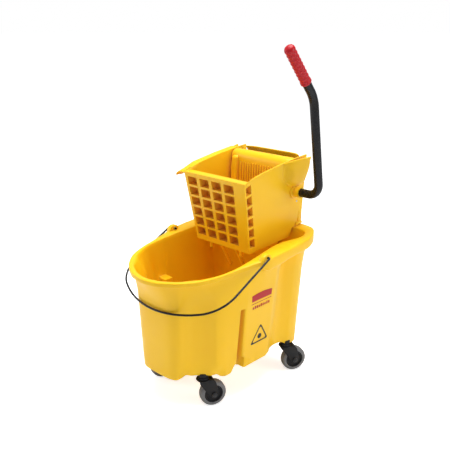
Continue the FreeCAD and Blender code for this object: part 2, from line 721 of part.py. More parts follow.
def shaft_plug():
    """Cap that closes the shaft's free end and keeps it in its bush."""
    face, end = V(PLUG_FACE, SHAFT_Y, SHAFT_Z), V(SHAFT_END, SHAFT_Y, SHAFT_Z)
    inside = TUBE_R - TUBE_WALL
    head = rod(BUSH_R, face - V(4, 0, 0), face)
    neck = rod(inside, face, end + V(13, 0, 0))
    collar = tube(TUBE_R, inside - 0.5, face, end)
    return head.fuse(neck).fuse(collar).removeSplitter()


# ---------------------------------------------------------------- fasteners and labels
def cover_screws():
    screws = []
    for x in (8 - COVER_HALF, COVER_HALF - 8):
        for z in (470, 505):
            start = V(x, cover_y(z + SCREW_R) + RUN, z)
            screws.append(rod(SCREW_R, start, start + V(0, 3, 0)))
    return Part.makeCompound(screws)


def plate_screws():
    screws = []
    for x in (GEAR_IN + GEAR_W / 2, -GEAR_IN - GEAR_W / 2):
        start = V(x, PLATE_FRONT, SHAFT_Z + PITCH_R + 14)
        screws.append(rod(SCREW_R, start - V(0, 2.5, 0), start))
    return Part.makeCompound(screws)


def on_panel(shape):
    """Stand a thin plate, drawn flat at x = 0, on the drafted side panel."""
    lean = math.degrees(math.atan((PANEL_HIGH_X - PANEL_LOW_X) / (PANEL_TOP - SKIRT_Z)))
    moved = shape.copy()
    moved.rotate(V(0, 0, 0), V(0, 1, 0), lean)
    moved.translate(V(PANEL_LOW_X, 0, SKIRT_Z))
    return moved


def side_label():
    plate = box(0, LABEL_T, -48, 32, 214, 233)
    corners = [e for e in plate.Edges if abs(e.tangentAt(e.FirstParameter).x) > 0.99]
    return on_panel(plate.makeFillet(6, corners))


def sign_frame():
    def outline(grow, low):
        points = [(-52 - grow, 80 - low), (22 + grow, 80 - low), (-15, 138 + grow)]
        return yz_prism(points, 0, LABEL_T)
    return on_panel(outline(0, 0).cut(outline(-7, -4)))


# ---------------------------------------------------------------- build
def build():
    os.makedirs("parts", exist_ok=True)
    export("bucket_shell", bucket_shell())
    export("bail_wire", bail_wire())
    export("bail_clips", bail_clips())
    for name, x, y, turn in CASTERS:
        export("caster_socket_" + name, placed(socket(), x, y, 0))
        export("caster_fork_" + name, placed(fork(), x, y, turn))
        export("caster_stem_" + name, placed(stem(), x, y, turn))
        export("caster_bearing_" + name, placed(bearing(), x, y, turn))
        export("wheel_axle_" + name, placed(axle(), x, y, turn))
        export("wheel_hub_" + name, placed(wheel_hub(), x, y, turn))
        export("wheel_tread_" + name, placed(wheel_tread(), x, y, turn))
    export("wringer_housing", wringer_housing())
    export("rear_cover", rear_cover())
    export("drain_grate", drain_grate())
    rail = guide_rail()
    export("guide_rail_right", rail)
    export("guide_rail_left", mirrored(rail))
    bush = shaft_bush()
    export("shaft_bush_right", bush)
    export("shaft_bush_left", mirrored(bush))
    export("cover_screws", cover_screws())
    export("press_plate", press_plate())
    export("rack_right", rack())
    export("rack_left", mirrored(rack()))
    export("plate_screws", plate_screws())
    export("lever_tube", lever_tube())
    export("lever_grip", lever_grip())
    export("shaft_plug", shaft_plug())
    export("pinion_right", pinion())
    export("pinion_left", mirrored(pinion()))
    export("gear_pins", gear_pins())
    export("side_label", side_label())
    export("sign_frame", sign_frame())


build()
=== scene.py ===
# %% [markdown]
# # A mop bucket with a side-press wringer
# The working model is already built and packed. This lesson dresses it: the large pieces
# get finished meshes, the small hardware keeps the frame's own, and every piece gets a
# procedural material. The bodies and their joints stay as they are.

# %% Load the fixed frame
import math

import bmesh
import bpy
from mathutils import Matrix, Vector


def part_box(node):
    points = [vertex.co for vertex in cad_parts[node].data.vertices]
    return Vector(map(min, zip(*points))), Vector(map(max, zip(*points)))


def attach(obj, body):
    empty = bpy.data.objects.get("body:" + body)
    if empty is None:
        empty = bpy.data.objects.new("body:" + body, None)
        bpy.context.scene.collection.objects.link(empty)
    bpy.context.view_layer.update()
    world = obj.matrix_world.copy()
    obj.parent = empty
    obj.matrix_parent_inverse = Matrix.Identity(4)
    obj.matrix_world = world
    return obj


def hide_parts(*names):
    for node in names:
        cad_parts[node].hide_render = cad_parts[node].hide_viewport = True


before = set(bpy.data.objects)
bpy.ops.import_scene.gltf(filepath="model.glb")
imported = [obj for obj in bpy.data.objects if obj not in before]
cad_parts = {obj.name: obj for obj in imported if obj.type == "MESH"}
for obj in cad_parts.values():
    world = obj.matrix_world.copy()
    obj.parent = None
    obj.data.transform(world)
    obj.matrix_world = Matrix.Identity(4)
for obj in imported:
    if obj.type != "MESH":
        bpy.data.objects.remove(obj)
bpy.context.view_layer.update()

# %% [markdown]
# ## Measuring from the frame
# The maker's sizes are in millimetres from the bucket's middle plane. The whole object's
# middle is a little to the lever side, so the bucket's own box gives the plane.

# %% Places
shell_low, shell_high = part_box("bucket_shell")
MIDDLE_X = (shell_low.x + shell_high.x) / 2
MM = 0.001
RIM_Z0, RIM_SLOPE = 418.6, 0.10
SKIRT_Z, FLOOR_Z = 92.0, 132.0


def at(x, y, z):
    """A place in metres from millimetres, with x counted from the bucket's middle."""
    return Vector((MIDDLE_X + x * MM, y * MM, z * MM))


def rim_z(y):
    return RIM_Z0 + RIM_SLOPE * y


def mix(a, b, t):
    return a + (b - a) * t


def ease(a, b, value):
    """0 below a, 1 above b, and smooth between them."""
    t = min(1.0, max(0.0, (value - a) / (b - a)))
    return t * t * (3 - 2 * t)


# %% [markdown]
# ## Materials
# Moulded polypropylene is never one flat colour. It scatters a little light, its gloss
# varies in soft patches, and its surface has a very fine orange-peel. Each material below
# is a small node tree on Object coordinates, which are metres here.

# %% Node helpers
def new_material(name):
    material = bpy.data.materials.new(name)
    material.use_nodes = True
    shader = material.node_tree.nodes["Principled BSDF"]
    return material, material.node_tree, shader


def noise(tree, scale, detail=3.0, rough=0.5):
    coords = tree.nodes.new("ShaderNodeTexCoord")
    pattern = tree.nodes.new("ShaderNodeTexNoise")
    pattern.inputs["Scale"].default_value = scale
    pattern.inputs["Detail"].default_value = detail
    pattern.inputs["Roughness"].default_value = rough
    tree.links.new(coords.outputs["Object"], pattern.inputs["Vector"])
    return pattern.outputs["Fac"]


def ramp(tree, source, low, high, low_at=0.3, high_at=0.7):
    node = tree.nodes.new("ShaderNodeValToRGB")
    node.color_ramp.elements[0].position = low_at
    node.color_ramp.elements[1].position = high_at
    node.color_ramp.elements[0].color = low
    node.color_ramp.elements[1].color = high
    tree.links.new(source, node.inputs["Fac"])
    return node.outputs["Color"]


def grey(value):
    return (value, value, value, 1.0)


def bump(tree, shader, height, strength, distance):
    node = tree.nodes.new("ShaderNodeBump")
    node.inputs["Strength"].default_value = strength
    node.inputs["Distance"].default_value = distance
    tree.links.new(height, node.inputs["Height"])
    tree.links.new(node.outputs["Normal"], shader.inputs["Normal"])


# %% Yellow moulding
def yellow_plastic():
    material, tree, shader = new_material("yellow_moulding")
    patches = noise(tree, 9.0, 2.0)
    tint = ramp(tree, patches, (0.930, 0.540, 0.008, 1), (0.950, 0.565, 0.010, 1))
    # painted shade: an ambient occlusion node mixes the yellow towards a darker orange in deep corners,
    # creases and the waffle's pockets
    painted_shade_ao = tree.nodes.new("ShaderNodeAmbientOcclusion")
    painted_shade_ao.inputs["Distance"].default_value = 0.045
    painted_shade_ao.samples = 8
    painted_shade_amount = ramp(tree, painted_shade_ao.outputs["AO"], grey(0.0), grey(1.0), 0.12, 0.72)
    painted_shade_mix = tree.nodes.new("ShaderNodeMix")
    painted_shade_mix.data_type = "RGBA"
    tree.links.new(painted_shade_amount, painted_shade_mix.inputs["Factor"])
    # the darker orange painted in as shade where the ambient occlusion is low
    painted_shade_mix.inputs[6].default_value = (0.84, 0.40, 0.055, 1)
    tree.links.new(tint, painted_shade_mix.inputs[7])
    tree.links.new(painted_shade_mix.outputs[2], shader.inputs["Base Color"])
    smears = noise(tree, 28.0, 4.0, 0.6)
    tree.links.new(ramp(tree, smears, grey(0.30), grey(0.40)), shader.inputs["Roughness"])
    bump(tree, shader, noise(tree, 900.0, 2.0), 0.05, 0.0004)
    shader.inputs["IOR"].default_value = 1.49
    shader.inputs["Specular IOR Level"].default_value = 0.30
    shader.inputs["Subsurface Weight"].default_value = 0.06
    shader.inputs["Subsurface Radius"].default_value = (0.006, 0.003, 0.0005)
    shader.inputs["Subsurface Scale"].default_value = 1.0
    return material


# %% Black powder coat, wire coat and plastics
def speckled(name, dark, light, rough, grain, strength, metallic=0.0):
    material, tree, shader = new_material(name)
    fine = noise(tree, grain, 3.0, 0.6)
    tree.links.new(ramp(tree, fine, dark, light), shader.inputs["Base Color"])
    broad = noise(tree, grain / 12, 2.0)
    low, high = grey(rough - 0.05), grey(rough + 0.06)
    tree.links.new(ramp(tree, broad, low, high), shader.inputs["Roughness"])
    bump(tree, shader, fine, strength, 0.0003)
    shader.inputs["Specular IOR Level"].default_value = 0.28
    shader.inputs["Metallic"].default_value = metallic
    return material


YELLOW = yellow_plastic()
POWDER_BLACK = speckled("black_powder_coat", (0.005, 0.005, 0.006, 1), (0.010, 0.010, 0.012, 1),
                        0.27, 700, 0.10)
WIRE_BLACK = speckled("black_wire_coat", (0.004, 0.004, 0.005, 1), (0.008, 0.008, 0.009, 1), 0.34, 900, 0.10)
HUB_BLACK = speckled("black_hub_plastic", (0.004, 0.004, 0.005, 1), (0.009, 0.009, 0.010, 1),
                     0.46, 500, 0.14)
TREAD_GREY = speckled("grey_tread_rubber", (0.150, 0.146, 0.146, 1), (0.205, 0.200, 0.198, 1),
                      0.55, 420, 0.20)
GRIP_RED = speckled("red_grip_plastic", (0.430, 0.006, 0.012, 1), (0.500, 0.010, 0.018, 1), 0.38, 500, 0.12)
ZINC = speckled("bright_zinc", (0.50, 0.51, 0.52, 1), (0.66, 0.67, 0.68, 1), 0.32, 600, 0.08, 1.0)
LABEL_RED = speckled("red_film", (0.420, 0.004, 0.007, 1), (0.460, 0.006, 0.009, 1), 0.30, 200, 0.02)
PRINT_BLACK = speckled("black_film", (0.012, 0.012, 0.012, 1), (0.020, 0.020, 0.020, 1), 0.45, 200, 0.02)


# %% [markdown]
# ## Mesh helpers
# Most of the shell pieces are grids: rows of points that a rule works out. One helper
# joins the rows with quads, so each piece only has to say where its points are.

# %% Grids and finishing
def mesh_object(name, points, faces, material, angle=40):
    mesh = bpy.data.meshes.new(name)
    mesh.from_pydata([tuple(p) for p in points], [], faces)
    mesh.validate()
    piece = bpy.data.objects.new(name, mesh)
    bpy.context.scene.collection.objects.link(piece)
    mesh.materials.append(material)
    fix_normals(piece)
    shade(piece, angle)
    return piece


def fix_normals(piece):
    work = bmesh.new()
    work.from_mesh(piece.data)
    bmesh.ops.remove_doubles(work, verts=work.verts, dist=1e-6)
    bmesh.ops.recalc_face_normals(work, faces=work.faces)
    work.to_mesh(piece.data)
    work.free()


def shade(piece, angle=40):
    for face in piece.data.polygons:
        face.use_smooth = True
    piece.data.set_sharp_from_angle(angle=math.radians(angle))


def ring_faces(rows, columns, closed=True):
    """Quads between rows of points; a closed row joins its last point to its first."""
    faces = []
    for r in range(rows - 1):
        for c in range(columns if closed else columns - 1):
            d = (c + 1) % columns
            faces.append((r * columns + c, r * columns + d, (r + 1) * columns + d, (r + 1) * columns + c))
    return faces


def bake(piece):
    """Turn the modifiers' result into the piece's own plain mesh."""
    graph = bpy.context.evaluated_depsgraph_get()
    result = bpy.data.meshes.new_from_object(piece.evaluated_get(graph))
    piece.modifiers.clear()
    piece.data = result
    return piece


def soften(piece, width, segments=2, angle=35):
    """Round the sharp edges, as a mould does, and keep the faces smooth."""
    edge = piece.modifiers.new("edge", "BEVEL")
    edge.width = width * MM
    edge.segments = segments
    edge.limit_method = "ANGLE"
    edge.angle_limit = math.radians(angle)
    edge.harden_normals = False
    bake(piece)
    shade(piece, 50)
    return piece


def place(piece, body, slot, *nodes):
    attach(piece, body)
    if nodes:
        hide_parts(*nodes)
    return piece


# %% [markdown]
# ## The bucket
# The tub is one closed skin. Seen from above, its outline bulges at the nose, goes in over
# each front caster, bulges again, is cut by an open slot, runs along a flat panel and goes
# in once more before the back corner. The outline is given at four levels, and the wall
# between them follows; the flare under the rim comes from easing into the top outline.

# %% Key points of the outline: outside wall at the skirt, at the shoulder and at the rim
# Each line: skirt (x, y), shoulder (x, y), rim (x, y), outer edge of the rim (x, y).
NOSE = [
    ((0, -238), (0, -246), (0, -272), (0, -281.5)),
    ((40, -237), (43, -244.5), (42, -264.5), (44, -275)),
    ((60, -232.5), (68, -238.5), (66, -253.5), (70, -263)),
    ((75, -223), (85, -228), (84, -243.5), (90, -251)),
    ((83, -208.5), (94, -213), (97, -233.5), (104, -241)),
    ((93, -189.5), (103.5, -191.5), (108, -222), (116, -229)),
    ((111, -169), (119, -172), (120, -208), (129, -215)),
    ((130, -154), (136.5, -157.5), (133, -194), (141, -199)),
    ((142.5, -142), (150, -145), (143, -177.5), (151, -179)),
    ((149, -124), (159.5, -127), (152, -158), (159, -158)),
    ((150, -102), (168, -105), (160, -133), (166, -132)),
]
SLOT_FRONT = ((151, -79), (176, -82), (170, -96), (173, -95))
SLOT_BACK = ((158, -63), (179, -67), (175, -74), (177, -78))
PANEL = [
    ((160, -58), (180.4, -61), (177, -68), (180, -70)),
    ((160, -34), (180.4, -36), (183, -40), (185, -42)),
    ((160, 0), (180.4, 0), (189, 0), (200, 2)),
    ((160, 54), (180.4, 63), (189, 67), (201, 66)),
]
BACK = [
    ((154, 62), (171, 71), (173, 76), (201, 78)),
    ((147, 84), (158, 91), (161, 98), (201, 99)),
    ((146, 107), (157, 114), (161, 120), (201, 120)),
    ((151, 128), (165, 135), (170, 140), (201, 140)),
    ((159, 150), (171, 156), (177, 161), (201, 159)),
    ((158, 179), (169, 185), (176, 190), (197.5, 191)),
    ((143, 198), (155, 207), (166, 214), (181, 229)),
    ((115, 206), (128, 217), (142, 225), (151, 256)),
    ((60, 207), (65, 219), (70, 226.5), (76, 263)),
    ((0, 207), (0, 219), (0, 226.5), (0, 263)),
]
# Inside wall behind the slot, at the floor, at the shoulder and at the rim.  In front of the
# slot the inside simply follows the outside at the wall's thickness.
WALL = 4.0
INNER_FRONT = ((147, -88), (160, -89), (161, -95))
INNER_BACK = ((148, -54), (160, -58), (161, -62))
INNER_PANEL = [
    ((148.5, -46), (158.5, -50), (160, -54)), ((148, -28), (157, -30), (159, -34)),
    ((145, 4), (153, 4), (156, 4)), ((142, 50), (148, 57), (149, 62)),
]
INNER_BACK_WALL = [
    ((141, 61), (147, 68), (148, 74)), ((141, 84), (147, 91), (148.5, 98)),
    ((142, 108), (151, 114), (153, 121)), ((147, 130), (160, 137), (162, 143)),
    ((155, 150), (167, 157), (169, 162)), ((154, 177), (165, 182), (171, 187)),
    ((141, 194), (153, 203), (163, 208)), ((114, 202), (127, 213), (143, 219.5)),
    ((60, 203), (65, 215), (75, 222.5)), ((0, 203), (0, 215), (0, 222.5)),
]


# %% One closed outline at any height
STEPS = 5                   # points between two key points
SLOT_DEPTH_X = 134.0        # how far in the slot reaches
SLOT_TOP = 288.0
STEP_TOP = 134.0            # below this the slot widens towards the back
STEP_WIDE = 10.0


def spline(keys, steps):
    """Points along a smooth curve through the keys, without the last one."""
    result = []
    for i in range(len(keys) - 1):
        a, b = keys[i], keys[i + 1]
        start = (-b[0], b[1]) if a[0] == 0 else (2 * a[0] - b[0], 2 * a[1] - b[1])
        before = keys[i - 1] if i else start
        after = keys[i + 2] if i + 2 < len(keys) else (2 * b[0] - a[0], 2 * b[1] - a[1])
        for s in range(steps):
            t = s / steps
            point = []
            for k in (0, 1):
                p0, p1, p2, p3 = before[k], a[k], b[k], after[k]
                point.append(0.5 * (2 * p1 + (p2 - p0) * t + (2 * p0 - 5 * p1 + 4 * p2 - p3) * t * t
                                    + (3 * p1 - p0 - 3 * p2 + p3) * t ** 3))
            result.append(tuple(point))
    return result


def straight(keys, steps):
    result = []
    for a, b in zip(keys, keys[1:]):
        result += [(mix(a[0], b[0], s / steps), mix(a[1], b[1], s / steps)) for s in range(steps)]
    return result


def slot_points(front, back, depth_x, open_slot):
    """Eight points across the slot; above the slot they lie on the wall itself."""
    if open_slot:
        inner_front, inner_back = (depth_x, front[1]), (depth_x, back[1])
        lip = 2.0
        return [front, (front[0] - lip, front[1] + 0.6), (inner_front[0] + 2, front[1] + 0.6),
                (depth_x, front[1] + 3), (depth_x, back[1] - 3),
                (inner_back[0] + 2, back[1] - 0.6), (back[0] - lip, back[1] - 0.6), back]
    return [(mix(front[0], back[0], s / 7), mix(front[1], back[1], s / 7)) for s in range(8)]


def half_outline(nose, front, back, panel, rear, depth_x, open_slot):
    points = spline(nose + [front], STEPS)
    points += slot_points(front, back, depth_x, open_slot)[:-1]
    points += straight([back] + panel[:1], 2)
    points += straight(panel, 4)
    points += spline([panel[-1]] + rear, STEPS)
    return points + [rear[-1]]


def full_ring(half, height):
    """Mirror the half outline and give each point its height."""
    both = half + [(-x, y) for x, y in reversed(half[1:-1])]
    return [at(x, y, height(x, y)) for x, y in both]


def level(keys, kinds, t):
    """Key points between two of the given heights."""
    low, high = kinds
    return [(mix(k[low][0], k[high][0], t), mix(k[low][1], k[high][1], t)) for k in keys]


def outer_half(low, high, t, open_slot, widen=0.0):
    keys = level(NOSE + [SLOT_FRONT, SLOT_BACK] + PANEL + BACK, (low, high), t)
    n, p = len(NOSE), len(PANEL)
    for k in (n + 1, n + 2):
        keys[k] = (keys[k][0], keys[k][1] + widen)
    return half_outline(keys[:n], keys[n], keys[n + 1], keys[n + 2:n + 2 + p], keys[n + 2 + p:],
                        SLOT_DEPTH_X, open_slot)


def inner_half(low, high, t, open_slot):
    n, p = len(NOSE), len(INNER_PANEL)
    below = (FLOOR_Z - SKIRT_Z) / (SHOULDER_Z - SKIRT_Z) if low == 0 else 0.0
    nose = shrink(level(NOSE + [SLOT_FRONT], (low, high), below + (1 - below) * t), WALL)[:n]
    rest = [INNER_FRONT, INNER_BACK] + INNER_PANEL + INNER_BACK_WALL
    keys = nose + level(rest, (low, high), t)
    return half_outline(keys[:n], keys[n], keys[n + 1], keys[n + 2:n + 2 + p], keys[n + 2 + p:],
                        SLOT_DEPTH_X - 5, open_slot)


# %% Rows from the underside, up the outside, over the rim and down the inside
SHOULDER_Z = 315.0
CHAMFERS = [(77, -210, 24), (137, -134, 24)]    # places where the skirt tucks in under the flute


def skirt_edge(x, y):
    """The skirt's lower edge, raised over the casters and beside the slot."""
    x = abs(x)
    front = (1 - ease(40, 56, math.hypot(x - 107, y + 170))) * 9
    rear = ease(30, 60, y) * (1 - ease(124, 148, y)) * 13 if x > 95 else 0.0
    beside = ease(-98, -80, y) * (1 - ease(-72, -66, y)) * 22 if x > 128 else 0.0
    panel = ease(-68, -62, y) * (1 - ease(24, 50, y)) * 4 if x > 128 else 0.0
    return SKIRT_Z + max(front, rear, beside, panel)


def tuck(half, z):
    """Near the bottom the wall turns in on both sides of the flute."""
    less = shrink(half, 11.0)
    moved = []
    for (x, y), (in_x, in_y) in zip(half, less):
        share = max(1 - ease(4, reach, math.hypot(x - cx, y - cy)) for cx, cy, reach in CHAMFERS)
        share *= 1 - ease(0, 40, z)
        moved.append((mix(x, in_x, share), mix(y, in_y, share)))
    return moved


def rim_depth(y):
    """The rolled edge is shallow round the nose and a deep band round the back."""
    return mix(13.0, 33.0, ease(-30, 6, y))


def shrink(half, distance):
    """Move a half outline inwards, square to its own line."""
    ring = half + [(-x, y) for x, y in reversed(half[1:-1])]
    moved = []
    for i, (x, y) in enumerate(half):
        (ax, ay), (bx, by) = ring[i - 1], ring[(i + 1) % len(ring)]
        dx, dy = bx - ax, by - ay
        size = math.hypot(dx, dy) or 1.0
        new_x = x - distance * dy / size
        moved.append((0.0 if x == 0 else new_x, y + distance * dx / size))
    return moved


def underside_rows():
    skirt = tuck(outer_half(0, 1, 0.0, True, STEP_WIDE), 0)
    rows = []
    for scale in (0.02, 0.45, 0.8, 0.97):
        lid = [(x * scale, (y + 15) * scale - 15) for x, y in shrink(skirt, 5)]
        rows.append(full_ring(lid, lambda x, y: 128.0))
    rows.append(full_ring(shrink(skirt, 4.2), lambda x, y: 124.0))
    for less, up in ((4.0, 1.5), (3.0, 0.0), (0.8, 0.0)):
        rows.append(full_ring(shrink(skirt, less), lambda x, y, up=up: skirt_edge(x, y) + up))
    return rows


def outside_rows():
    rows = []
    step = STEP_TOP - SKIRT_Z
    for z in (1.3, 8, 15, 24, step - 1, step + 1, 60, 80, 105, 140, 170, 190, SLOT_TOP - SKIRT_Z):
        t = z / (SHOULDER_Z - SKIRT_Z)
        half = tuck(outer_half(0, 1, t, True, STEP_WIDE if z < step else 0.0), z)
        rows.append(full_ring(half, lambda x, y, z=z: max(skirt_edge(x, y) + 1.2 + 0.05 * z, SKIRT_Z + z)))
    for z in (SLOT_TOP + 1.2, SLOT_TOP + 6, 303, SHOULDER_Z):
        t = (z - SKIRT_Z) / (SHOULDER_Z - SKIRT_Z)
        rows.append(full_ring(outer_half(0, 1, t, False), lambda x, y, z=z: z))
    for t in (0.12, 0.26, 0.42, 0.6, 0.8, 1.0):
        half = outer_half(1, 2, t ** 1.35, False)
        rows.append(full_ring(half, lambda x, y, t=t: mix(SHOULDER_Z, rim_z(y) - rim_depth(y) - 1.5, t)))
    return rows


def rim_rows():
    """Out under the band, up its face and over its rounded top."""
    wall, edge = outer_half(1, 2, 1.0, False), outer_half(2, 3, 1.0, False)
    rows = []
    for out, down in ((0.15, 1.0), (0.6, 1.0), (0.86, 0.97), (0.97, 0.88), (1.0, 0.72), (1.0, 0.40),
                      (1.0, 0.22), (0.985, 0.10), (0.93, 0.03), (0.84, 0.0)):
        half = [(mix(a[0], b[0], out), mix(a[1], b[1], out)) for a, b in zip(wall, edge)]
        rows.append(full_ring(half, lambda x, y, d=down: rim_z(y) - d * rim_depth(y)))
    inner = inner_half(1, 2, 1.0, False)
    for grow, down in ((2.2, 0.2), (0.7, 1.2)):
        rows.append(full_ring(shrink(inner, -grow), lambda x, y, d=down: rim_z(y) - d))
    return rows


def inside_rows():
    rows = []
    for t in (0.975, 0.85, 0.7, 0.52, 0.36, 0.2, 0.08, 0.0):
        half = inner_half(1, 2, t ** 1.35, False)
        rows.append(full_ring(half, lambda x, y, t=t: mix(SHOULDER_Z, rim_z(y), t)))
    for z in (303, SLOT_TOP + 8, SLOT_TOP + 4, 280, 255, 220, 190, 165, 150):
        t = (z - FLOOR_Z) / (SHOULDER_Z - FLOOR_Z)
        half = inner_half(0, 1, t, z <= SLOT_TOP + 4)
        rows.append(full_ring(half, lambda x, y, z=z: z))
    for z, less in ((142, 0.8), (136.5, 2.8), (133.3, 6.0), (132, 11.0)):
        rows.append(full_ring(shrink(inner_half(0, 1, 0.05, True), less), lambda x, y, z=z: z))
    floor = shrink(inner_half(0, 1, 0.0, True), 11.0)
    for scale in (0.85, 0.6, 0.3, 0.02):
        rows.append(full_ring([(x * scale, (y + 15) * scale - 15) for x, y in floor], lambda x, y: FLOOR_Z))
    return rows


def build_bucket():
    rows = underside_rows() + outside_rows() + rim_rows() + inside_rows()
    columns = len(rows[0])
    points = [p for row in rows for p in row]
    faces = ring_faces(len(rows), columns)
    faces.append(tuple(reversed(range(columns))))
    last = (len(rows) - 1) * columns
    faces.append(tuple(range(last, last + columns)))
    return mesh_object("bucket_tub", points, faces, YELLOW, 60)


bucket = place(build_bucket(), "bucket", "yellow_moulding", "bucket_shell")
print("tub faces", len(bucket.data.polygons))

# %% Ears for the bail
def outline_block(name, outline, x0, x1, material, width=2.0, segments=3):
    """A flat outline in the Y-Z plane, given thickness along X and rounded edges."""
    points = [at(x, y, z) for x in (x0, x1) for y, z in outline]
    n = len(outline)
    faces = [tuple(range(n)), tuple(reversed(range(n, 2 * n)))]
    faces += [(i, (i + 1) % n, n + (i + 1) % n, n + i) for i in range(n)]
    piece = mesh_object(name, points, faces, material)
    return soften(piece, width, segments)


EAR_SHAPE = [(-25, 405), (22, 405), (17, 424), (12, 430.5), (5, 433.5), (-6, 433.5),
             (-13, 430.5), (-18, 424)]
for side, word in ((1, "right"), (-1, "left")):
    ear = outline_block("bail_ear_" + word, EAR_SHAPE, side * 180, side * 196, YELLOW, 3.6)
    place(ear, "bucket", "yellow_moulding", "bucket_shell")

# %% [markdown]
# ## Tubes and wires
# The bail, the lever and its shaft are round rod, bent where they turn. A curve with a
# round bevel could make them, but a circle carried along the path here puts one ring at
# each point of the path, does not twist in the bends, and closes both ends.

# %% Bent rod
def rounded_path(corners, radii, steps=10):
    """Straight runs joined by arcs: one radius for each inner corner."""
    points = [corners[0]]
    for before, corner, after, radius in zip(corners, corners[1:], corners[2:], radii):
        a, b = (before - corner).normalized(), (after - corner).normalized()
        half = a.angle(b) / 2
        back = radius / math.tan(half)
        centre = corner + (a + b).normalized() * (radius / math.sin(half))
        start, stop = corner + a * back - centre, corner + b * back - centre
        for s in range(steps + 1):
            points.append(centre + start.normalized().slerp(stop.normalized(), s / steps) * radius)
    return points + [corners[-1]]


def rod_mesh(name, path, radius, material, sides=24):
    """Sweep a circle along the path without twist, and close both ends."""
    normal = None
    points = []
    for i, centre in enumerate(path):
        along = (path[min(i + 1, len(path) - 1)] - path[max(i - 1, 0)]).normalized()
        if normal is None:
            normal = along.orthogonal().normalized()
        normal = (normal - along * normal.dot(along)).normalized()
        other = along.cross(normal)
        for s in range(sides):
            turn = 2 * math.pi * s / sides
            points.append(centre + (normal * math.cos(turn) + other * math.sin(turn)) * radius)
    faces = ring_faces(len(path), sides)
    faces += [tuple(reversed(range(sides))), tuple(range(len(points) - sides, len(points)))]
    return mesh_object(name, points, faces, material)


# %% The bail
EAR_Z, BAIL_HALF, BAIL_REACH = 424.0, 203.0, 282.0
BAIL_DROP = math.radians(27)
CORNER_R, NOSE_R, BEND_R = 105.0, 300.0, 4.6
BAIL_END, WIRE_R = 173.0, 3.0


def bail_place(x, reach):
    return at(x, -reach * math.cos(BAIL_DROP), EAR_Z - reach * math.sin(BAIL_DROP))


def bail_path():
    corner_x = BAIL_HALF - CORNER_R
    rise = math.sqrt((NOSE_R - CORNER_R) ** 2 - corner_x ** 2)
    centre_reach = BAIL_REACH - NOSE_R + rise
    join = math.atan2(corner_x, rise)
    half = [(BAIL_END, 0.0), (BAIL_HALF - BEND_R, 0.0)]
    for step in range(1, 7):
        turn = math.pi / 2 * step / 6
        half.append((BAIL_HALF - BEND_R + BEND_R * math.sin(turn), BEND_R - BEND_R * math.cos(turn)))
    for step in range(1, 5):
        half.append((BAIL_HALF, mix(BEND_R, centre_reach, step / 5)))
    for step in range(25):
        turn = mix(math.pi / 2, join, step / 24)
        half.append((corner_x + CORNER_R * math.sin(turn), centre_reach + CORNER_R * math.cos(turn)))
    for step in range(1, 9):
        turn = mix(join, 0.0, step / 8)
        half.append((NOSE_R * math.sin(turn), BAIL_REACH - NOSE_R + NOSE_R * math.cos(turn)))
    both = half + [(-x, r) for x, r in reversed(half[:-1])]
    return [bail_place(x, r) for x, r in both]


bail = rod_mesh("bail", bail_path(), WIRE_R * MM, WIRE_BLACK, 14)
place(bail, "bail", "black_wire", "bail_wire")

# %% The lever
SHAFT_Y, SHAFT_Z, LEVER_X, TUBE_R = 214.0, 555.0, 204.0, 12.5
TIP = Vector((LEVER_X, 55.0, 970.0))
KNEE = Vector((LEVER_X, 168.5, 837.8))
SHAFT_END, SHAFT_BEND, KNEE_BEND = -133, 38.0, 90.0


def lever_points():
    corners = [Vector((SHAFT_END, SHAFT_Y, SHAFT_Z)), Vector((LEVER_X, SHAFT_Y, SHAFT_Z)), KNEE, TIP]
    return [at(*p) for p in rounded_path(corners, [SHAFT_BEND, KNEE_BEND], 14)]


lever = rod_mesh("lever_bar", lever_points(), TUBE_R * MM, POWDER_BLACK, 32)
place(lever, "lever", "black_steel", "lever_tube")

# %% [markdown]
# ## The wringer's housing
# The housing is a U seen from above: a thick waffled front and two thin sides, open at the
# back. It leans forward and widens upwards. Like the tub it is one closed grid: stations run
# along the U, levels run up it, and the pockets of the waffle are faces pushed inwards, as
# the mould's cores push them.

# %% Sizes of the housing
LOW_Z, HIGH_Z = 400.0, 680.0
LOW_HALF, HIGH_HALF = 105.6, 123.3
LOW_FRONT, HIGH_FRONT = 27.1, -23.1
FRONT_THICK, SIDE_T = 30.0, 4.5
SIDE_TOP = [(-60, 612.5), (-11, 612.5), (12, 620), (51, 634), (137, 647.5), (215, 657), (270, 661)]
SIDE_LOW = [(-60, 404), (26, 404), (205, 413), (217, 440.5), (270, 446)]
POCKET_X = [(-108, -71), (-59.5, -22.5), (-11, 26), (37.5, 74.5)]     # at the top row
POCKET_ROWS, ROW_LOW, ROW_TOP, ROW_OPEN = 6, 414.0, 600.0, 24.5
NOTCH_Y = (4.0, 25.0)


def front_y(z):
    return mix(LOW_FRONT, HIGH_FRONT, (z - LOW_Z) / (HIGH_Z - LOW_Z))


def half_x(z):
    return mix(LOW_HALF, HIGH_HALF, (z - LOW_Z) / (HIGH_Z - LOW_Z))


def along(profile, y):
    """Height of a profile line at y."""
    for (y0, z0), (y1, z1) in zip(profile, profile[1:]):
        if y <= y1:
            return mix(z0, z1, max(0.0, (y - y0) / (y1 - y0)))
    return profile[-1][1]


# %% Stations along the U and levels up it
def front_stations():
    """x as a share of the half width, for the outer and the inner face."""
    top_half = half_x(ROW_TOP)
    cuts = [-1.0]
    for left, right in POCKET_X:
        cuts += [left / top_half, right / top_half]
    return cuts + [1.0]


SIDE_Y = [NOTCH_Y[0], NOTCH_Y[1], 60, 100, 140, 180, 205, 217, 240, 258]


def housing_levels():
    """Heights at the front, as shares of its full height."""
    pitch = (ROW_TOP - ROW_LOW) / POCKET_ROWS
    heights = [404.0]
    for row in range(POCKET_ROWS):
        low = ROW_LOW + pitch * row + (pitch - ROW_OPEN)
        heights += [low, low + ROW_OPEN]
    heights.append(612.5)
    return [(h - 404.0) / (612.5 - 404.0) for h in heights]


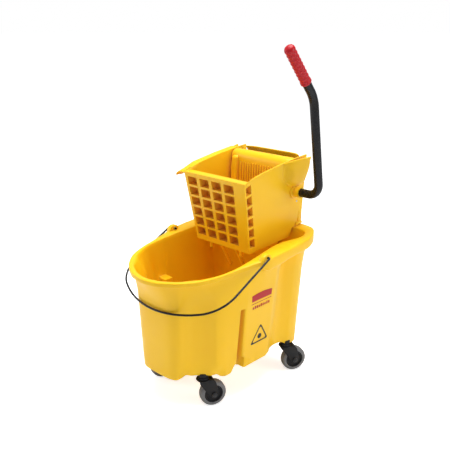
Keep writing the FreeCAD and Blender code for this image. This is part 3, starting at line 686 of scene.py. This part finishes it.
def housing_point(station, share, inner):
    kind, value, side = station
    if kind == "front":
        y_mark = 0.0
    else:
        y_mark = value
    low, top = along(SIDE_LOW, y_mark), along(SIDE_TOP, y_mark)
    z = mix(low, top, share)
    x_out = half_x(z)
    if kind == "front":
        if inner:
            x = value * (x_out - SIDE_T)
            return at(x, front_y(z) + FRONT_THICK, z)
        return at(value * x_out, front_y(z), z)
    x = side * (x_out - (SIDE_T if inner else 0.0))
    y = max(value, front_y(z) + (FRONT_THICK if inner else 0.0))
    if value in NOTCH_Y:
        y = front_y(z) + (FRONT_THICK if inner else value)
    return at(x, y, z)


def build_housing():
    stations = [("side", y, -1) for y in reversed(SIDE_Y)]
    stations += [("front", u, 0) for u in front_stations()]
    stations += [("side", y, 1) for y in SIDE_Y]
    levels = housing_levels()
    n, rows = len(stations), len(levels)
    points = [housing_point(st, share, False) for share in levels for st in stations]
    points += [housing_point(st, share, True) for share in levels for st in stations]
    shift = n * rows
    faces, pockets, notches = [], [], []
    first = len(SIDE_Y)
    pocket_columns = [first + 1 + 2 * k for k in range(len(POCKET_X))]
    notch_column = n - len(SIDE_Y)
    for r in range(rows - 1):
        for c in range(n - 1):
            a, b = r * n + c, r * n + c + 1
            if r % 2 and c in pocket_columns:
                pockets.append(len(faces))
            if r % 2 and c == notch_column:
                notches.append(len(faces))
            faces.append((a, b, b + n, a + n))
            faces.append((shift + a + n, shift + b + n, shift + b, shift + a))
    for c in range(n - 1):
        low, top = c, (rows - 1) * n + c
        faces.append((low + 1, low, shift + low, shift + low + 1))
        faces.append((top, top + 1, shift + top + 1, shift + top))
    for r in range(rows - 1):
        a, b = r * n, r * n + n - 1
        faces.append((a + n, a, shift + a, shift + a + n)[::-1])
        faces.append((b, b + n, shift + b + n, shift + b)[::-1])
    return points, faces, pockets, notches


def push_pockets(work, faces, direction, narrow):
    """Extrude each face on its own, move it in and make its end a little smaller."""
    made = bmesh.ops.extrude_discrete_faces(work, faces=faces)["faces"]
    for face in made:
        middle = face.calc_center_median()
        for vert in face.verts:
            vert.co = middle + (vert.co - middle) * narrow + direction
    return made


def housing_object():
    points, faces, pockets, notches = build_housing()
    mesh = bpy.data.meshes.new("housing")
    mesh.from_pydata([tuple(p) for p in points], [], faces)
    work = bmesh.new()
    work.from_mesh(mesh)
    work.faces.ensure_lookup_table()
    front_faces = [work.faces[i] for i in pockets]
    side_faces = [work.faces[i] for i in notches]
    push_pockets(work, front_faces, Vector((0, 24 * MM, 0)), 0.9)
    push_pockets(work, side_faces, Vector((-17 * MM, 1 * MM, 0)), 0.85)
    bmesh.ops.remove_doubles(work, verts=work.verts, dist=2e-5)
    bmesh.ops.recalc_face_normals(work, faces=work.faces)
    work.to_mesh(mesh)
    work.free()
    piece = bpy.data.objects.new("wringer_body", mesh)
    bpy.context.scene.collection.objects.link(piece)
    mesh.materials.append(YELLOW)
    print("pockets", len(pockets), "notches", len(notches))
    return soften(piece, 1.3, 2)


place(housing_object(), "wringer", "yellow_moulding", "wringer_housing")

# %% [markdown]
# ## Flanges and wings
# The left wall ends in a flange that curls down into a hook, and behind each wall a wing
# flares out beside the lever's pivot. Both are thin curved sheets. A sheet here is a grid
# of points with a thickness added square to it, closed all round.

# %% Curved sheets with a thickness
def sheet(name, rows, thick, material, edge=0.8):
    """Close a grid of points into a shell of even thickness."""
    n, m = len(rows), len(rows[0])
    mesh = bpy.data.meshes.new(name)
    faces = [(r * m + c, r * m + c + 1, (r + 1) * m + c + 1, (r + 1) * m + c)
             for r in range(n - 1) for c in range(m - 1)]
    mesh.from_pydata([tuple(p) for row in rows for p in row], [], faces)
    piece = bpy.data.objects.new(name, mesh)
    bpy.context.scene.collection.objects.link(piece)
    mesh.materials.append(material)
    wall = piece.modifiers.new("wall", "SOLIDIFY")
    wall.thickness = thick * MM
    wall.offset = 0.0
    wall.use_even_offset = True
    bake(piece)
    fix_normals(piece)
    return soften(piece, edge, 2, 50)


# %% The hooked flange on the left
HOOK_SINK = 1.8             # how far the flange lies below the wall's top
HOOK = [(-4, 0), (4, 1.0), (13, 1.5), (21, 0.3), (28, -3.0), (33, -8.5), (35.5, -15.5), (35.5, -22)]


def flange_rows():
    rows = []
    for y in (-11, 0, 12, 30, 51, 80, 110, 137, 165, 190, 215):
        top = along(SIDE_TOP, y)
        drop = mix(0.55, 1.0, ease(-11, 20, y))
        row = []
        for out, up in HOOK:
            lift = up * drop if up < 0 else up
            row.append(at(-half_x(top) - out, y, top - HOOK_SINK + lift))
        rows.append(row)
    return rows


place(sheet("left_flange", flange_rows(), 3.4, YELLOW, 1.2), "wringer", "yellow_moulding")


# %% Wings beside the lever's pivot
def wing_rows(side):
    rows = []
    for y in (150, 165, 180, 195, 210, 225, 238, 248):
        top = along(SIDE_TOP, y) - 1.0
        low = mix(600, 574, ease(150, 190, y)) + 10 * ease(232, 250, y)
        flare = 24 * ease(140, 262, y)
        row = []
        for k in range(9):
            t = k / 8
            z = mix(low, top, t)
            swell = ease(-0.6, 0.8, t) * flare + 3.0 * ease(0.93, 1.0, t) * ease(200, 235, y)
            row.append(at(side * (half_x(z) - 2.4 + swell), y, z))
        rows.append(row)
    return rows


for side, word in ((1, "right"), (-1, "left")):
    place(sheet("wing_" + word, wing_rows(side), 3.6, YELLOW, 1.0), "wringer", "yellow_moulding")

# %% Rear columns, pivot bosses, shelf, tongue, pegs and struts
def block(name, x0, x1, outline, width=1.5, material=YELLOW):
    return outline_block(name, outline, x0, x1, material, width, 2)


def rounded_rod(name, start, end, radius, material, sides=28, round_by=1.5):
    """A rod with softened ends."""
    piece = rod_mesh(name, [start, start.lerp(end, 0.5), end], radius * MM, material, sides)
    return soften(piece, round_by, 3, 50)


for side, word in ((1, "right"), (-1, "left")):
    column = block("rear_column_" + word, side * 101, side * 111.5,
                   [(241, 446), (258, 448), (258, 640), (241, 640)], 1.6)
    foot = block("rear_foot_" + word, side * 99, side * 114,
                 [(228, 443), (259, 446), (259, 454), (233, 454)], 2)
    boss = rounded_rod("pivot_boss_" + word, at(side * 108, SHAFT_Y, SHAFT_Z),
                       at(side * 120, SHAFT_Y, SHAFT_Z), 22, YELLOW, 40, 2.0)
    screw = rounded_rod("column_screw_" + word, at(side * 110, 228, 522),
                        at(side * 114.5, 228, 522), 3.2, ZINC)
    for part in (column, foot, boss):
        place(part, "wringer", "yellow_moulding", "wringer_housing")
    place(screw, "wringer", "zinc_steel")
    peg = rounded_rod("peg_" + word, at(side * 60, 42, 382), at(side * 60, 42, 408), 5.5, YELLOW, 24, 2.0)
    strut = block("strut_" + word, side * 26, side * 32, [(40, 408), (52, 408), (100, 324), (91, 318)], 1.5)
    for part in (peg, strut):
        place(part, "wringer", "yellow_moulding", "wringer_housing")
shelf = block("rear_shelf", -106, 106, [(203, 439.3), (257, 444.7), (257, 457), (203, 457)], 2)
tongue = block("rear_tongue", -60, 60, [(205, 366), (212.5, 366), (212.5, 449), (205, 449)], 2)
ledge = block("front_ledge", -101, 101, [(44, 405), (57, 405), (57, 415.6), (44, 415.6)], 1.5)
for part in (shelf, tongue, ledge):
    place(part, "wringer", "yellow_moulding", "wringer_housing")

# %% [markdown]
# ## Rear cover and press plate
# The cover behind the shaft is a smooth hump. The press plate has a broad rounded lip, fine
# ribs and two raised gear covers. The ribs are equal and evenly spaced, so Geometry Nodes
# makes them: one bar copied along a line of points.

# %% A row of equal bars
def bar_row_tree():
    tree = bpy.data.node_groups.new("bar_row", "GeometryNodeTree")
    face = tree.interface
    face.new_socket("Geometry", in_out="OUTPUT", socket_type="NodeSocketGeometry")
    for name, kind in (("Count", "NodeSocketInt"), ("Start", "NodeSocketVector"),
                       ("Step", "NodeSocketVector"), ("Bar Size", "NodeSocketVector"),
                       ("Material", "NodeSocketMaterial")):
        face.new_socket(name, in_out="INPUT", socket_type=kind)
    given, result = tree.nodes.new("NodeGroupInput"), tree.nodes.new("NodeGroupOutput")
    line, cube = tree.nodes.new("GeometryNodeMeshLine"), tree.nodes.new("GeometryNodeMeshCube")
    copy = tree.nodes.new("GeometryNodeInstanceOnPoints")
    real = tree.nodes.new("GeometryNodeRealizeInstances")
    paint = tree.nodes.new("GeometryNodeSetMaterial")
    tree.links.new(given.outputs["Count"], line.inputs["Count"])
    tree.links.new(given.outputs["Start"], line.inputs["Start Location"])
    tree.links.new(given.outputs["Step"], line.inputs["Offset"])
    tree.links.new(given.outputs["Bar Size"], cube.inputs["Size"])
    tree.links.new(line.outputs["Mesh"], copy.inputs["Points"])
    tree.links.new(cube.outputs["Mesh"], copy.inputs["Instance"])
    tree.links.new(copy.outputs["Instances"], real.inputs["Geometry"])
    tree.links.new(real.outputs["Geometry"], paint.inputs["Geometry"])
    tree.links.new(given.outputs["Material"], paint.inputs["Material"])
    tree.links.new(paint.outputs["Geometry"], result.inputs["Geometry"])
    return tree


BAR_ROW = bar_row_tree()


def bar_row(name, count, start, step, size, material, edge=0.8):
    """Bars of one size; start is the middle of the first bar, in metres like step and size."""
    mesh = bpy.data.meshes.new(name)
    piece = bpy.data.objects.new(name, mesh)
    bpy.context.scene.collection.objects.link(piece)
    maker = piece.modifiers.new("bars", "NODES")
    maker.node_group = BAR_ROW
    values = {"Count": count, "Start": start, "Step": step, "Bar Size": size, "Material": material}
    for item in BAR_ROW.interface.items_tree:
        if item.in_out == "INPUT":
            maker[item.identifier] = values[item.name]
    bake(piece)
    print(name, "bars", count)
    return soften(piece, edge, 2)


# %% The press plate with its lip, ribs and gear covers
PLATE_FRONT = 182.0


def plate_half(z):
    return half_x(z) - SIDE_T - 4.0


def plate_rows():
    """The plate's profile from its foot up, then back over the lip; each row runs across."""
    profile = [(187, 431), (187, 500), (187, 570), (187, 620), (187.6, 632), (190, 641), (195, 647.5),
               (202, 650.5), (209, 651), (212, 649), (213, 645)]
    rows = []
    for y, z in profile:
        half = plate_half(z)
        rows.append([at(mix(-half, half, k / 6), y, z) for k in range(7)])
    return rows


press = sheet("press_face", plate_rows(), 9.0, YELLOW, 2.0)
place(press, "press", "yellow_moulding", "press_plate")
ribs = bar_row("press_ribs", 15, at(-70, PLATE_FRONT - 1.5, 530), Vector((10, 0, 0)) * MM,
               Vector((3.0, 6.0, 186)) * MM, YELLOW)
place(ribs, "press", "yellow_moulding", "press_plate")
for side, word in ((1, "right"), (-1, "left")):
    cover = block("gear_cover_" + word, side * 82, side * 103,
                  [(184, 434), (170, 446), (169, 520), (169, 600), (175, 634), (184, 640)], 3.0)
    place(cover, "press", "yellow_moulding", "press_plate")

# %% The rear cover
COVER_LINE = [(258, 447), (260, 475), (262, 500), (266, 525), (275, 548), (281, 572),
              (279.5, 596), (273, 622), (266, 645), (256, 659)]


def cover_rows():
    rows = []
    for y, z in COVER_LINE:
        row = []
        for k in range(17):
            x = mix(-103, 103, k / 16)
            round_in = 14 * (abs(x) / 103) ** 8
            row.append(at(x, y - 2 - round_in, z))
        rows.append(row)
    return rows


place(sheet("rear_hump", cover_rows(), 3.6, YELLOW, 1.0), "wringer", "yellow_moulding", "rear_cover")

# %% [markdown]
# ## Casters
# The four casters are alike. Each is described once in its own frame, with the wheel
# trailing along +X, and then turned and carried to its stem. Wheels are turned shapes: a
# closed profile of radius and width goes round the axle.

# %% Turned shapes
def turned(name, centre, axis, profile, material, sides=56):
    """Spin a closed profile of (radius, along) pairs, in millimetres, round an axis."""
    axis = axis.normalized()
    first = axis.orthogonal().normalized()
    second = axis.cross(first)
    points = []
    for radius, far in profile:
        for k in range(sides):
            turn = 2 * math.pi * k / sides
            out = first * math.cos(turn) + second * math.sin(turn)
            points.append(centre + axis * far * MM + out * radius * MM)
    faces, n = [], len(profile)
    for i in range(n):
        for k in range(sides):
            a, b = i * sides + k, i * sides + (k + 1) % sides
            c, d = ((i + 1) % n) * sides + (k + 1) % sides, ((i + 1) % n) * sides + k
            faces.append((a, b, c, d))
    piece = mesh_object(name, points, faces, material)
    fix_normals(piece)
    return piece


HUB_PROFILE = [(4.1, -12), (9.5, -12), (10.5, -9), (13, -8.2), (20, -8.2), (22.5, -9.2),
               (23.5, -12), (27, -12),
               (27, 12), (23.5, 12), (22.5, 9.2), (20, 8.2), (13, 8.2), (10.5, 9), (9.5, 12), (4.1, 12)]
TREAD_PROFILE = [(27, -12.6), (28.5, -13), (32, -13), (35, -11.8), (37.2, -9), (38.1, -5.4), (38.1, 5.4),
                 (37.2, 9), (35, 11.8), (32, 13), (28.5, 13), (27, 12.6)]


# %% One fork
def round_corners(points, cut):
    """Replace each corner of a flat outline by a short curve."""
    result = []
    for i, corner in enumerate(points):
        corner = Vector(corner)
        before, after = Vector(points[i - 1]), Vector(points[(i + 1) % len(points)])
        a = corner + (before - corner).normalized() * min(cut, (before - corner).length * 0.45)
        b = corner + (after - corner).normalized() * min(cut, (after - corner).length * 0.45)
        for step in range(5):
            t = step / 4
            result.append(a * (1 - t) ** 2 + corner * 2 * t * (1 - t) + b * t ** 2)
    return result


CHEEK = [(-15, 87), (24, 87), (33, 76), (38.5, 41), (31, 28), (22, 28), (13, 38), (-3, 60), (-15, 78)]


def fork_cheek(name, carry, side):
    outline = round_corners(CHEEK, 6.0)
    n = len(outline)
    points = [carry(p.x, side * y, p.y) for y in (15.0, 18.0) for p in outline]
    faces = [tuple(range(n)), tuple(reversed(range(n, 2 * n)))]
    faces += [(i, (i + 1) % n, n + (i + 1) % n, n + i) for i in range(n)]
    piece = mesh_object(name, points, faces, HUB_BLACK)
    fix_normals(piece)
    return soften(piece, 1.0, 2, 50)


def fork_bridge(name, carry):
    corners = [(x, y, z) for z in (83.6, 87) for x, y in ((-6, -18), (26, -18), (26, 18), (-6, 18))]
    points = [carry(*c) for c in corners]
    faces = [(3, 2, 1, 0), (4, 5, 6, 7), (0, 1, 5, 4), (1, 2, 6, 5), (2, 3, 7, 6), (3, 0, 4, 7)]
    piece = mesh_object(name, points, faces, HUB_BLACK)
    fix_normals(piece)
    return soften(piece, 1.2, 2)


# %% Four casters
CASTERS = [("front_right", 105.6, -161.0, 64.0), ("front_left", -105.6, -161.0, 80.0),
           ("rear_right", 148.6, 150.0, 61.5), ("rear_left", -148.6, 150.0, 70.0)]
TRAIL, WHEEL_R = 26.7, 38.1
SLEEVE_PROFILE = [(5.6, 91.5), (13, 91.5), (13.6, 92.5), (13.6, 103), (12, 105), (6.6, 105),
                  (6.6, 118), (5.6, 118)]       # radius and height of the sleeve round each stem


def build_caster(name, x, y, degrees):
    turn = Matrix.Rotation(math.radians(degrees), 3, "Z")

    def carry(px, py, pz):
        moved = turn @ Vector((px, py, 0))
        return at(x + moved.x, y + moved.y, pz)

    swivel, wheel, axle_way = "caster_" + name, "wheel_" + name, turn @ Vector((0, 1, 0))
    for side, word in ((1, "a"), (-1, "b")):
        cheek = fork_cheek("fork_cheek_" + word + "_" + name, carry, side)
        place(cheek, swivel, "black_plastic", "caster_fork_" + name)
    place(fork_bridge("fork_bridge_" + name, carry), swivel, "black_plastic", "caster_fork_" + name)
    crown = turned("fork_crown_" + name, carry(0, 0, 0), Vector((0, 0, 1)),
                   [(5.6, 84), (19, 84), (20.6, 84.8), (21, 86), (20.4, 87), (5.6, 87)], HUB_BLACK)
    place(crown, swivel, "black_plastic", "caster_fork_" + name)
    middle = carry(TRAIL, 0, WHEEL_R)
    hub = turned("hub_" + name, middle, axle_way, HUB_PROFILE, HUB_BLACK)
    place(hub, wheel, "black_plastic", "wheel_hub_" + name)
    place(turned("tread_" + name, middle, axle_way, TREAD_PROFILE, TREAD_GREY), wheel, "grey_tread",
          "wheel_tread_" + name)
    sleeve = turned("stem_sleeve_" + name, at(x, y, 0), Vector((0, 0, 1)),
                    SLEEVE_PROFILE, HUB_BLACK, 40)
    place(sleeve, "bucket", "black_plastic", "caster_socket_" + name)


for row in CASTERS:
    build_caster(*row)

# %% [markdown]
# ## Grip, labels and small hardware
# The grip is a closed turned form that is a little flatter across than along, with shallow
# finger ribs. The labels are thin films on the sloping side panel: a plain red plate,
# bars in place of words, and an outlined triangle with a plain dot. None of it is lettering.

# %% The grip
def grip_profile():
    """(radius, along) from the open end to the crown."""
    rows = [(12.6, -118.0), (15.0, -118.0), (16.2, -116.4), (16.2, -112.0), (15.2, -110.0)]
    for k in range(33):
        far = mix(-109.0, -6.0, k / 32)
        rows.append((14.9 + 0.75 * math.cos(2 * math.pi * k / 4), far))
    rows += [(15.2, -3.5), (14.6, -0.6), (12.5, 2.6), (9.0, 5.0), (4.5, 6.4), (0.4, 6.9)]
    return rows


def build_grip():
    tip, knee = at(*TIP), at(*KNEE)
    way = (tip - knee).normalized()
    across = Vector((1, 0, 0))
    side_way = way.cross(across).normalized()
    points, sides = [], 48
    profile = grip_profile()
    for radius, far in profile:
        for k in range(sides):
            turn = 2 * math.pi * k / sides
            out = across * math.cos(turn) * 0.94 + side_way * math.sin(turn)
            points.append(tip + way * far * MM + out * radius * MM)
    faces = ring_faces(len(profile), sides)
    faces += [tuple(reversed(range(sides))), tuple(range(len(points) - sides, len(points)))]
    piece = mesh_object("grip", points, faces, GRIP_RED, 50)
    fix_normals(piece)
    return piece


place(build_grip(), "lever", "red_grip", "lever_grip")


# %% Films on the side panel
SIGN_LINE = 7.5             # how far the triangle's inner edge stands inside the outer one


def panel_x(z):
    return 160.0 + (z - 92.0) * 0.0915


def film(name, outline, material, slot, out=0.5, hole=None):
    """A thin plate on the panel; outline and hole are (y, z) loops of equal length."""
    n = len(outline)
    loops = [outline] if hole is None else [outline, hole]
    points = []
    for offset in (out, -0.6):
        for loop in loops:
            points += [at(panel_x(z) + offset, y, z) for y, z in loop]
    m = n * len(loops)
    faces = [(i, (i + 1) % n, m + (i + 1) % n, m + i) for i in range(n)]
    if hole is None:
        faces += [tuple(range(n)), tuple(reversed(range(m, m + n)))]
    else:
        faces += [(n + i, n + (i + 1) % n, m + n + (i + 1) % n, m + n + i) for i in range(n)]
        faces += [(k + i, k + (i + 1) % n, k + n + (i + 1) % n, k + n + i) for k in (0, m) for i in range(n)]
    piece = mesh_object(name, points, faces, material)
    fix_normals(piece)
    return place(piece, "bucket", slot)


def rectangle(y0, y1, z0, z1, cut=1.0):
    return round_corners([(y0, z0), (y1, z0), (y1, z1), (y0, z1)], cut)


def plate_outline():
    top = [(mix(40, -44, k / 12), 319.0 + 3.5 * math.sin(math.pi * k / 12)) for k in range(13)]
    return round_corners([(-44, 300.5), (40, 300.5)], 1.0) + top


def triangle(grow):
    return [Vector(p) for p in round_corners([(-35 - grow, 160 - grow * 0.6), (41 + grow, 160 - grow * 0.6),
                                              (4, 219 + grow)], 9.0)]


red_plate = film("red_plate", plate_outline(), LABEL_RED, "red_label")
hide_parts("side_label")
film("red_line", rectangle(-44, 40, 292.2, 293.8, 0.5), LABEL_RED, "red_label")
for k in range(9):
    tall = (7.0, 9.0, 8.0)[k % 3]
    bar = rectangle(-38 + 8.2 * k, -32.4 + 8.2 * k, 276, 276 + tall, 0.8)
    film("red_bar_%d" % k, bar, LABEL_RED, "red_label")
sign = film("sign_outline", triangle(0.0), PRINT_BLACK, "black_print", 0.5, triangle(-SIGN_LINE))
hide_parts("sign_frame")
dot_turns = [a * math.pi / 12 for a in range(24)]
dot_outline = [(3 + 8 * math.cos(turn), 179 + 8 * math.sin(turn)) for turn in dot_turns]
film("sign_dot", dot_outline, PRINT_BLACK, "black_print")


# %% Finishes on the frame's own small pieces
DARK_ZINC = speckled("dark_zinc", (0.030, 0.030, 0.032, 1), (0.060, 0.060, 0.062, 1), 0.40, 500, 0.08, 0.4)
FINISHES = [("caster_stem", DARK_ZINC), ("caster_bearing", DARK_ZINC),
            ("wheel_axle", DARK_ZINC), ("drain_grate", YELLOW), ("guide_rail", ZINC), ("shaft_bush", YELLOW),
            ("cover_screws", ZINC), ("plate_screws", ZINC), ("rack", ZINC), ("pinion", ZINC),
            ("gear_pins", ZINC), ("shaft_plug", HUB_BLACK), ("bail_clips", ZINC)]
finished = 0
for node_name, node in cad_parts.items():
    for start, finish in FINISHES:
        if node_name.startswith(start) and node.type == "MESH":
            node.data.materials.clear()
            node.data.materials.append(finish)
            finished += 1
print("small pieces finished", finished, "of", len(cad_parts))

# %% Camera
CAMERA_TURN, CAMERA_RISE = math.radians(43.74), math.radians(17.79)
CAMERA_LEVEL = 400          # height in mm of the point that the camera's place is counted from
CAMERA_RIGHT, CAMERA_UP, CAMERA_BACK = 25.45, 70.59, 1869.8
LENS, SENSOR = 51.232, 36.0


def build_camera():
    back = Vector((math.sin(CAMERA_TURN) * math.cos(CAMERA_RISE),
                   -math.cos(CAMERA_TURN) * math.cos(CAMERA_RISE), math.sin(CAMERA_RISE)))
    right = Vector((math.cos(CAMERA_TURN), math.sin(CAMERA_TURN), 0.0))
    up = back.cross(right)
    data = bpy.data.cameras.new("camera")
    data.sensor_width = SENSOR
    data.lens = LENS
    data.clip_end = 50
    camera = bpy.data.objects.new("camera", data)
    bpy.context.scene.collection.objects.link(camera)
    away = right * CAMERA_RIGHT + up * CAMERA_UP + back * CAMERA_BACK
    spot = at(0, 0, CAMERA_LEVEL) + away * MM
    turn = Matrix((right, up, back)).transposed().to_4x4()
    camera.matrix_world = Matrix.Translation(spot) @ turn
    bpy.context.scene.camera = camera


build_camera()


# %% [markdown]
# ## Floor and light
# Glossy moulded plastic shows its shape best on a white sweep under large soft lamps. The
# floor here is one wide plane. The world is white where it is seen and dimmer as a light,
# so that the lamps shape the object. The strongest hangs over the bucket's mouth to light the inside,
# and two smaller ones stand at the sides. The floor glows for the camera only, so it stays
# pale without lighting the walls from below.

# %% Floor
FLOOR_GLOW = 0.66


def build_floor():
    reach = 60.0
    corners = ((-reach, -reach), (reach, -reach), (reach, reach), (-reach, reach))
    material, tree, shader = new_material("pale_floor")
    cloud = noise(tree, 1.5, 2.0)
    tree.links.new(ramp(tree, cloud, grey(0.90), grey(0.92)), shader.inputs["Base Color"])
    shader.inputs["Roughness"].default_value = 0.7
    shader.inputs["Emission Color"].default_value = (1, 1, 1, 1)
    path, glow = tree.nodes.new("ShaderNodeLightPath"), tree.nodes.new("ShaderNodeMath")
    glow.operation = "MULTIPLY"
    glow.inputs[1].default_value = FLOOR_GLOW
    tree.links.new(path.outputs["Is Camera Ray"], glow.inputs[0])
    tree.links.new(glow.outputs[0], shader.inputs["Emission Strength"])
    mesh_object("floor", [Vector((x, y, 0.0)) for x, y in corners], [(0, 1, 2, 3)], material)


build_floor()


# %% World
def build_world(seen, light):
    world = bpy.data.worlds.new("studio")
    bpy.context.scene.world = world
    world.use_nodes = True
    tree = world.node_tree
    soft, white = tree.nodes["Background"], tree.nodes.new("ShaderNodeBackground")
    soft.inputs["Color"].default_value = (0.96, 0.98, 1.0, 1)
    soft.inputs["Strength"].default_value = light
    white.inputs["Color"].default_value = (1, 1, 1, 1)
    white.inputs["Strength"].default_value = seen
    path, choose = tree.nodes.new("ShaderNodeLightPath"), tree.nodes.new("ShaderNodeMixShader")
    tree.links.new(path.outputs["Is Camera Ray"], choose.inputs["Fac"])
    tree.links.new(soft.outputs[0], choose.inputs[1])
    tree.links.new(white.outputs[0], choose.inputs[2])
    tree.links.new(choose.outputs[0], tree.nodes["World Output"].inputs["Surface"])


build_world(1.0, 0.42)


# %% Lamps
def soft_lamp(name, place_m, aim, size, power):
    data = bpy.data.lights.new(name, "AREA")
    data.shape = "DISK"
    data.size = size
    data.energy = power
    lamp = bpy.data.objects.new(name, data)
    bpy.context.scene.collection.objects.link(lamp)
    lamp.location = place_m
    lamp.rotation_euler = (Vector(aim) - Vector(place_m)).to_track_quat("-Z", "Y").to_euler()


MIDDLE = (0.0, 0.0, 0.35)
soft_lamp("left", (-2.5, -1.5, 1.2), MIDDLE, 1.0, 24)
soft_lamp("right", (2.4, 1.1, 1.2), MIDDLE, 1.0, 17)
soft_lamp("top", (0.1, 0.2, 3.2), MIDDLE, 2.2, 105)
bpy.context.scene.view_settings.view_transform = "Standard"
